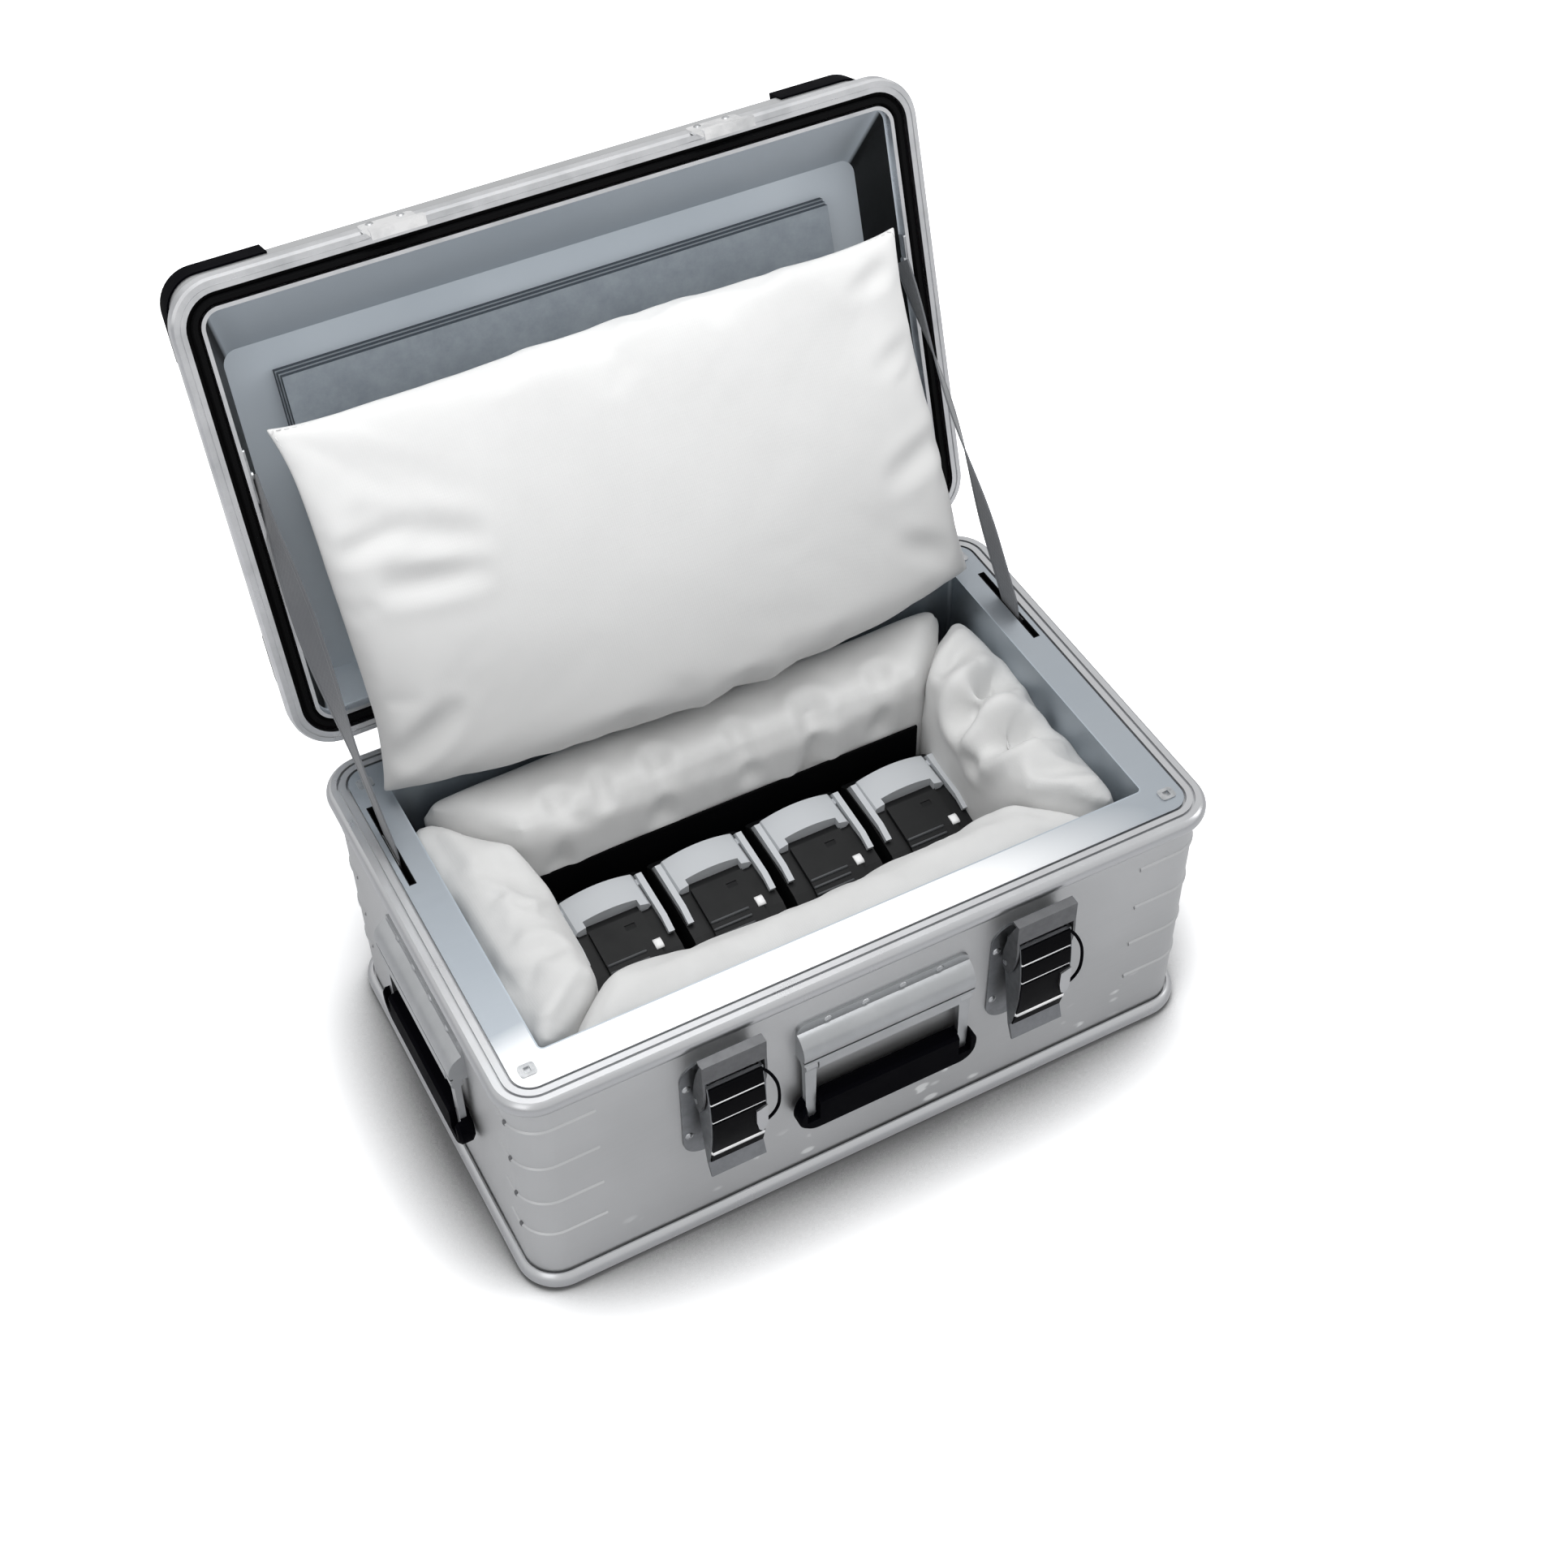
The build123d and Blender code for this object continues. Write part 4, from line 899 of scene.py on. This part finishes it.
pillow, pillow_edge, cell_of, columns, rows = sewn_bag("top_pillow_cloth", 566, 350, CLOTH_CELL)
inflate(pillow, 1.5, 30, tension=400, bending=0.15)
flat = [v.co.copy() for v in pillow.data.vertices]
thickest = max(abs(v.z) for v in flat)
for (_, i, j), number in cell_of.items():
    place = flat[number]
    left, right = flat[cell_of[1, 0, j]].x, flat[cell_of[1, columns, j]].x
    foot, top = flat[cell_of[1, i, 0]].y, flat[cell_of[1, i, rows]].y
    u, v = (place.x - left) / (right - left), (place.y - foot) / (top - foot)
    # the sides draw in between the ears, the full lower edge sags, the upper edge dips a little
    u, v = max(0, min(1, u)), max(0, min(1, v))
    waist = 1 - abs(2 * v - 1) ** 5
    x_left, x_right = -264 + 12 * waist, 264 - 6 * waist
    hang = 1 - (2 * u - 1) ** 2
    s_foot, s_top = -1 - 24 * hang, 293 - 7 * (1 - abs(2 * u - 1) ** 12) + 3 * hang
    x = x_left + u * (x_right - x_left)
    rise_up = s_foot + v * (s_top - s_foot)
    # the granulate has run down, so the bag is thickest low
    share = abs(place.z) / thickest
    out = math.copysign(share ** 0.8, place.z) * PILLOW_THICK / 2 * (1 + 0.34 * math.cos(math.pi * v))
    if out < 0:
        # the back thins out towards the foot, so that it clears the liner's flange
        out *= PILLOW_BACK * min(1, v / 0.25)
    centre = pillow_foot + along_lean * rise_up * MM + out_front * out * MM
    pillow.data.vertices[number].co = Vector((x * MM, centre.y, centre.z))
pillow.data.update()


def on_pillow(x, rise_up, out=38):
    """Millimetre point on the front of the leaning pillow."""
    return Vector((x, 0, 0)) + (pillow_foot / MM) + along_lean * rise_up + out_front * out


press_folds(pillow, [
    (on_pillow(-218, 207, 30), on_pillow(-150, 176), 14, 9),
    (on_pillow(-210, 156, 30), on_pillow(-152, 150), 11, 9),
    (on_pillow(-232, 190, 18), on_pillow(-190, 196, 34), 9, 7),
    (on_pillow(238, 262, 12), on_pillow(210, 254, 24), 9, 5),
    (on_pillow(246, 200, 14), on_pillow(214, 192, 30), 9, 4),
    (on_pillow(248, 120, 16), on_pillow(204, 106, 36), 11, 6),
    (on_pillow(232, 30, 14), on_pillow(200, 50, 40), 10, 5),
    (on_pillow(-240, 26, 14), on_pillow(-200, 50, 36), 10, 7),
])
unevenness(pillow, 7, 2.5 * MM)

# %% [markdown]
# ### The pillow's seam
# The two sheets are sewn a few millimetres inside their edge. The stitches follow the edge of
# the blown-up bag, so Geometry Nodes lay them along a curve made from those very points.

# %% Stitches along the pillow's edge
stitch_tree, stitch_in = group_of("stitches", {
    "Stitch": ("NodeSocketObject", None), "Pitch": ("NodeSocketFloat", 0.006),
    "Length": ("NodeSocketFloat", 0.004), "Thickness": ("NodeSocketFloat", 0.0011),
    "Thread": ("NodeSocketMaterial", None)})
seam = add_node(stitch_tree, "GeometryNodeMeshToCurve", {"Mesh": stitch_in.outputs["Geometry"]})
spaced = add_node(stitch_tree, "GeometryNodeResampleCurve",
                  {"Curve": seam.outputs[0], "Length": stitch_in.outputs["Pitch"]}, mode="LENGTH")
tangent = add_node(stitch_tree, "GeometryNodeInputTangent")
lying = add_node(stitch_tree, "FunctionNodeAlignRotationToVector",
                 {"Vector": tangent.outputs[0]}, axis="X")
stitch_size = add_node(stitch_tree, "ShaderNodeCombineXYZ", {
    "X": stitch_in.outputs["Length"], "Y": stitch_in.outputs["Thickness"],
    "Z": stitch_in.outputs["Thickness"]})
stitch_info = add_node(stitch_tree, "GeometryNodeObjectInfo", {"Object": stitch_in.outputs["Stitch"]})
sewn = add_node(stitch_tree, "GeometryNodeInstanceOnPoints", {
    "Points": spaced.outputs[0], "Instance": stitch_info.outputs["Geometry"],
    "Rotation": lying.outputs[0], "Scale": stitch_size.outputs[0]})
finish_group(stitch_tree, sewn.outputs[0], stitch_in.outputs["Thread"])


def stitch_mesh():
    """One stitch of unit length and thickness: a six-sided bead with pointed ends."""
    vertices, faces = [(-0.5, 0, 0)], []
    for x, radius in ((-0.32, 0.42), (0.32, 0.42)):
        angles = [a * math.pi / 3 for a in range(6)]
        vertices += [(x, radius * math.cos(angle), radius * math.sin(angle)) for angle in angles]
    vertices.append((0.5, 0, 0))
    for a in range(6):
        b = (a + 1) % 6
        faces += [(0, 1 + b, 1 + a), (1 + a, 1 + b, 7 + b, 7 + a), (13, 7 + a, 7 + b)]
    made = new_piece("stitch", vertices, faces)
    bpy.context.scene.collection.objects.unlink(made)
    return made


dress(pillow, pillow_cloth, "top_pillow", "pillow")
edge_points = [pillow.data.vertices[i].co.copy() for i in pillow_edge]
pillow_middle = sum(edge_points, Vector()) / len(edge_points)
inner = [p + (pillow_middle - p).normalized() * 3 * MM + out_front * 2.2 * MM for p in edge_points]
loop = [(i, (i + 1) % len(inner)) for i in range(len(inner))]
seam_piece = new_piece("pillow_stitches", inner, [], edges=loop)
apply_group(seam_piece, stitch_tree, {"Stitch": stitch_mesh(), "Pitch": 6 * MM, "Length": 4.2 * MM,
                                      "Thickness": 1.2 * MM, "Thread": thread})
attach(seam_piece, "pillow")
for piece in (pillow, seam_piece):
    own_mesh(piece)

# %% [markdown]
# ## Lid stays
# Two webbing bands stop the lid. Each runs from the lid's lip down through the slot in the
# flange, a little twisted, so that it shows its face near the lid and its edge near the slot.
# It crosses the hinge.

# %% Lid stays
STAY_WIDE = 25 * MM
STAY_THICK = 1.4 * MM
STAY_STEPS = 72


def stay_band(name, node, side):
    """A flat band with raised selvedges that follows the CAD stay and turns on its way."""
    low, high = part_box(node)
    x = (low.x + high.x) / 2
    top = lid_point(x, 0.236, 0.006)
    bend, foot = Vector((x, 0.082, 0.249)), Vector((x, 0.082, 0.226))
    section = ((-0.5, -0.5), (-0.5, 0.5), (-0.4, 0.5), (-0.36, 0.25), (0, 0.3), (0.36, 0.25), (0.4, 0.5),
               (0.5, 0.5), (0.5, -0.5), (0.4, -0.5), (0.36, -0.25), (0, -0.3), (-0.36, -0.25), (-0.4, -0.5))
    vertices, faces = [], []
    for step in range(STAY_STEPS + 1):
        t = step / STAY_STEPS
        if t < 0.08:
            centre, way = foot.lerp(bend, t / 0.08), (bend - foot).normalized()
        else:
            s = (t - 0.08) / 0.92
            centre, way = bend.lerp(top, s), (top - bend).normalized()
            centre = centre + Vector((side * 3 * MM * math.sin(math.pi * s), 0, 0))
        twist = math.radians(34) * side * math.sin(math.pi * max(0, t - 0.25) / 0.75) ** 2
        flat = way.cross(Vector((1, 0, 0))).normalized()
        across = flat * math.cos(twist) + Vector((1, 0, 0)) * math.sin(twist)
        proud = across.cross(way)
        vertices += [centre + across * a * STAY_WIDE + proud * b * STAY_THICK for a, b in section]
    size = len(section)
    for step in range(STAY_STEPS):
        for k in range(size):
            a, b = step * size + k, step * size + (k + 1) % size
            faces.append((a, b, b + size, a + size))
    faces += [tuple(range(size))[::-1], tuple(range(STAY_STEPS * size, (STAY_STEPS + 1) * size))]
    piece = new_piece(name, vertices, faces, webbing)
    face_outwards(piece)
    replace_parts(piece, node)
    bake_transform(piece)
    return piece


for side, sign in (("left", -1), ("right", 1)):
    stay_band(f"stay_{side}_webbing", f"stay_{side}", sign)

# %% [markdown]
# ## Slot sleeves
# The slot that the stay drops through is lined with a black plastic sleeve, which keeps the
# webbing from fraying on the sheet. It is a thin frame pressed up against the flange's underside.

# %% Slot sleeves
def sleeve(name, x, y, wide, long, top, deep, wall=0.8 * MM):
    """An open rectangular tube with its mouth level with the flange."""
    vertices, faces = [], []
    for inset in (0, wall):
        for z in (top, top - deep):
            for sx, sy in ((-1, -1), (1, -1), (1, 1), (-1, 1)):
                vertices.append((x + sx * (wide / 2 - inset), y + sy * (long / 2 - inset), z))
    for a in range(4):
        b = (a + 1) % 4
        faces += [(a, 4 + a, 4 + b, b), (8 + a, 8 + b, 12 + b, 12 + a)]
        faces += [(a, b, 8 + b, 8 + a), (4 + a, 12 + a, 12 + b, 4 + b)]
    piece = new_piece(name, vertices, faces, seal_black)
    face_outwards(piece)
    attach(piece, "case")


for side, sign in (("left", -1), ("right", 1)):
    sleeve(f"stay_sleeve_{side}", sign * 0.275, 0.085, 5.9 * MM, 87.8 * MM, 0.2462, 16 * MM)

# %% View transform
bpy.context.scene.view_settings.view_transform = "Standard"
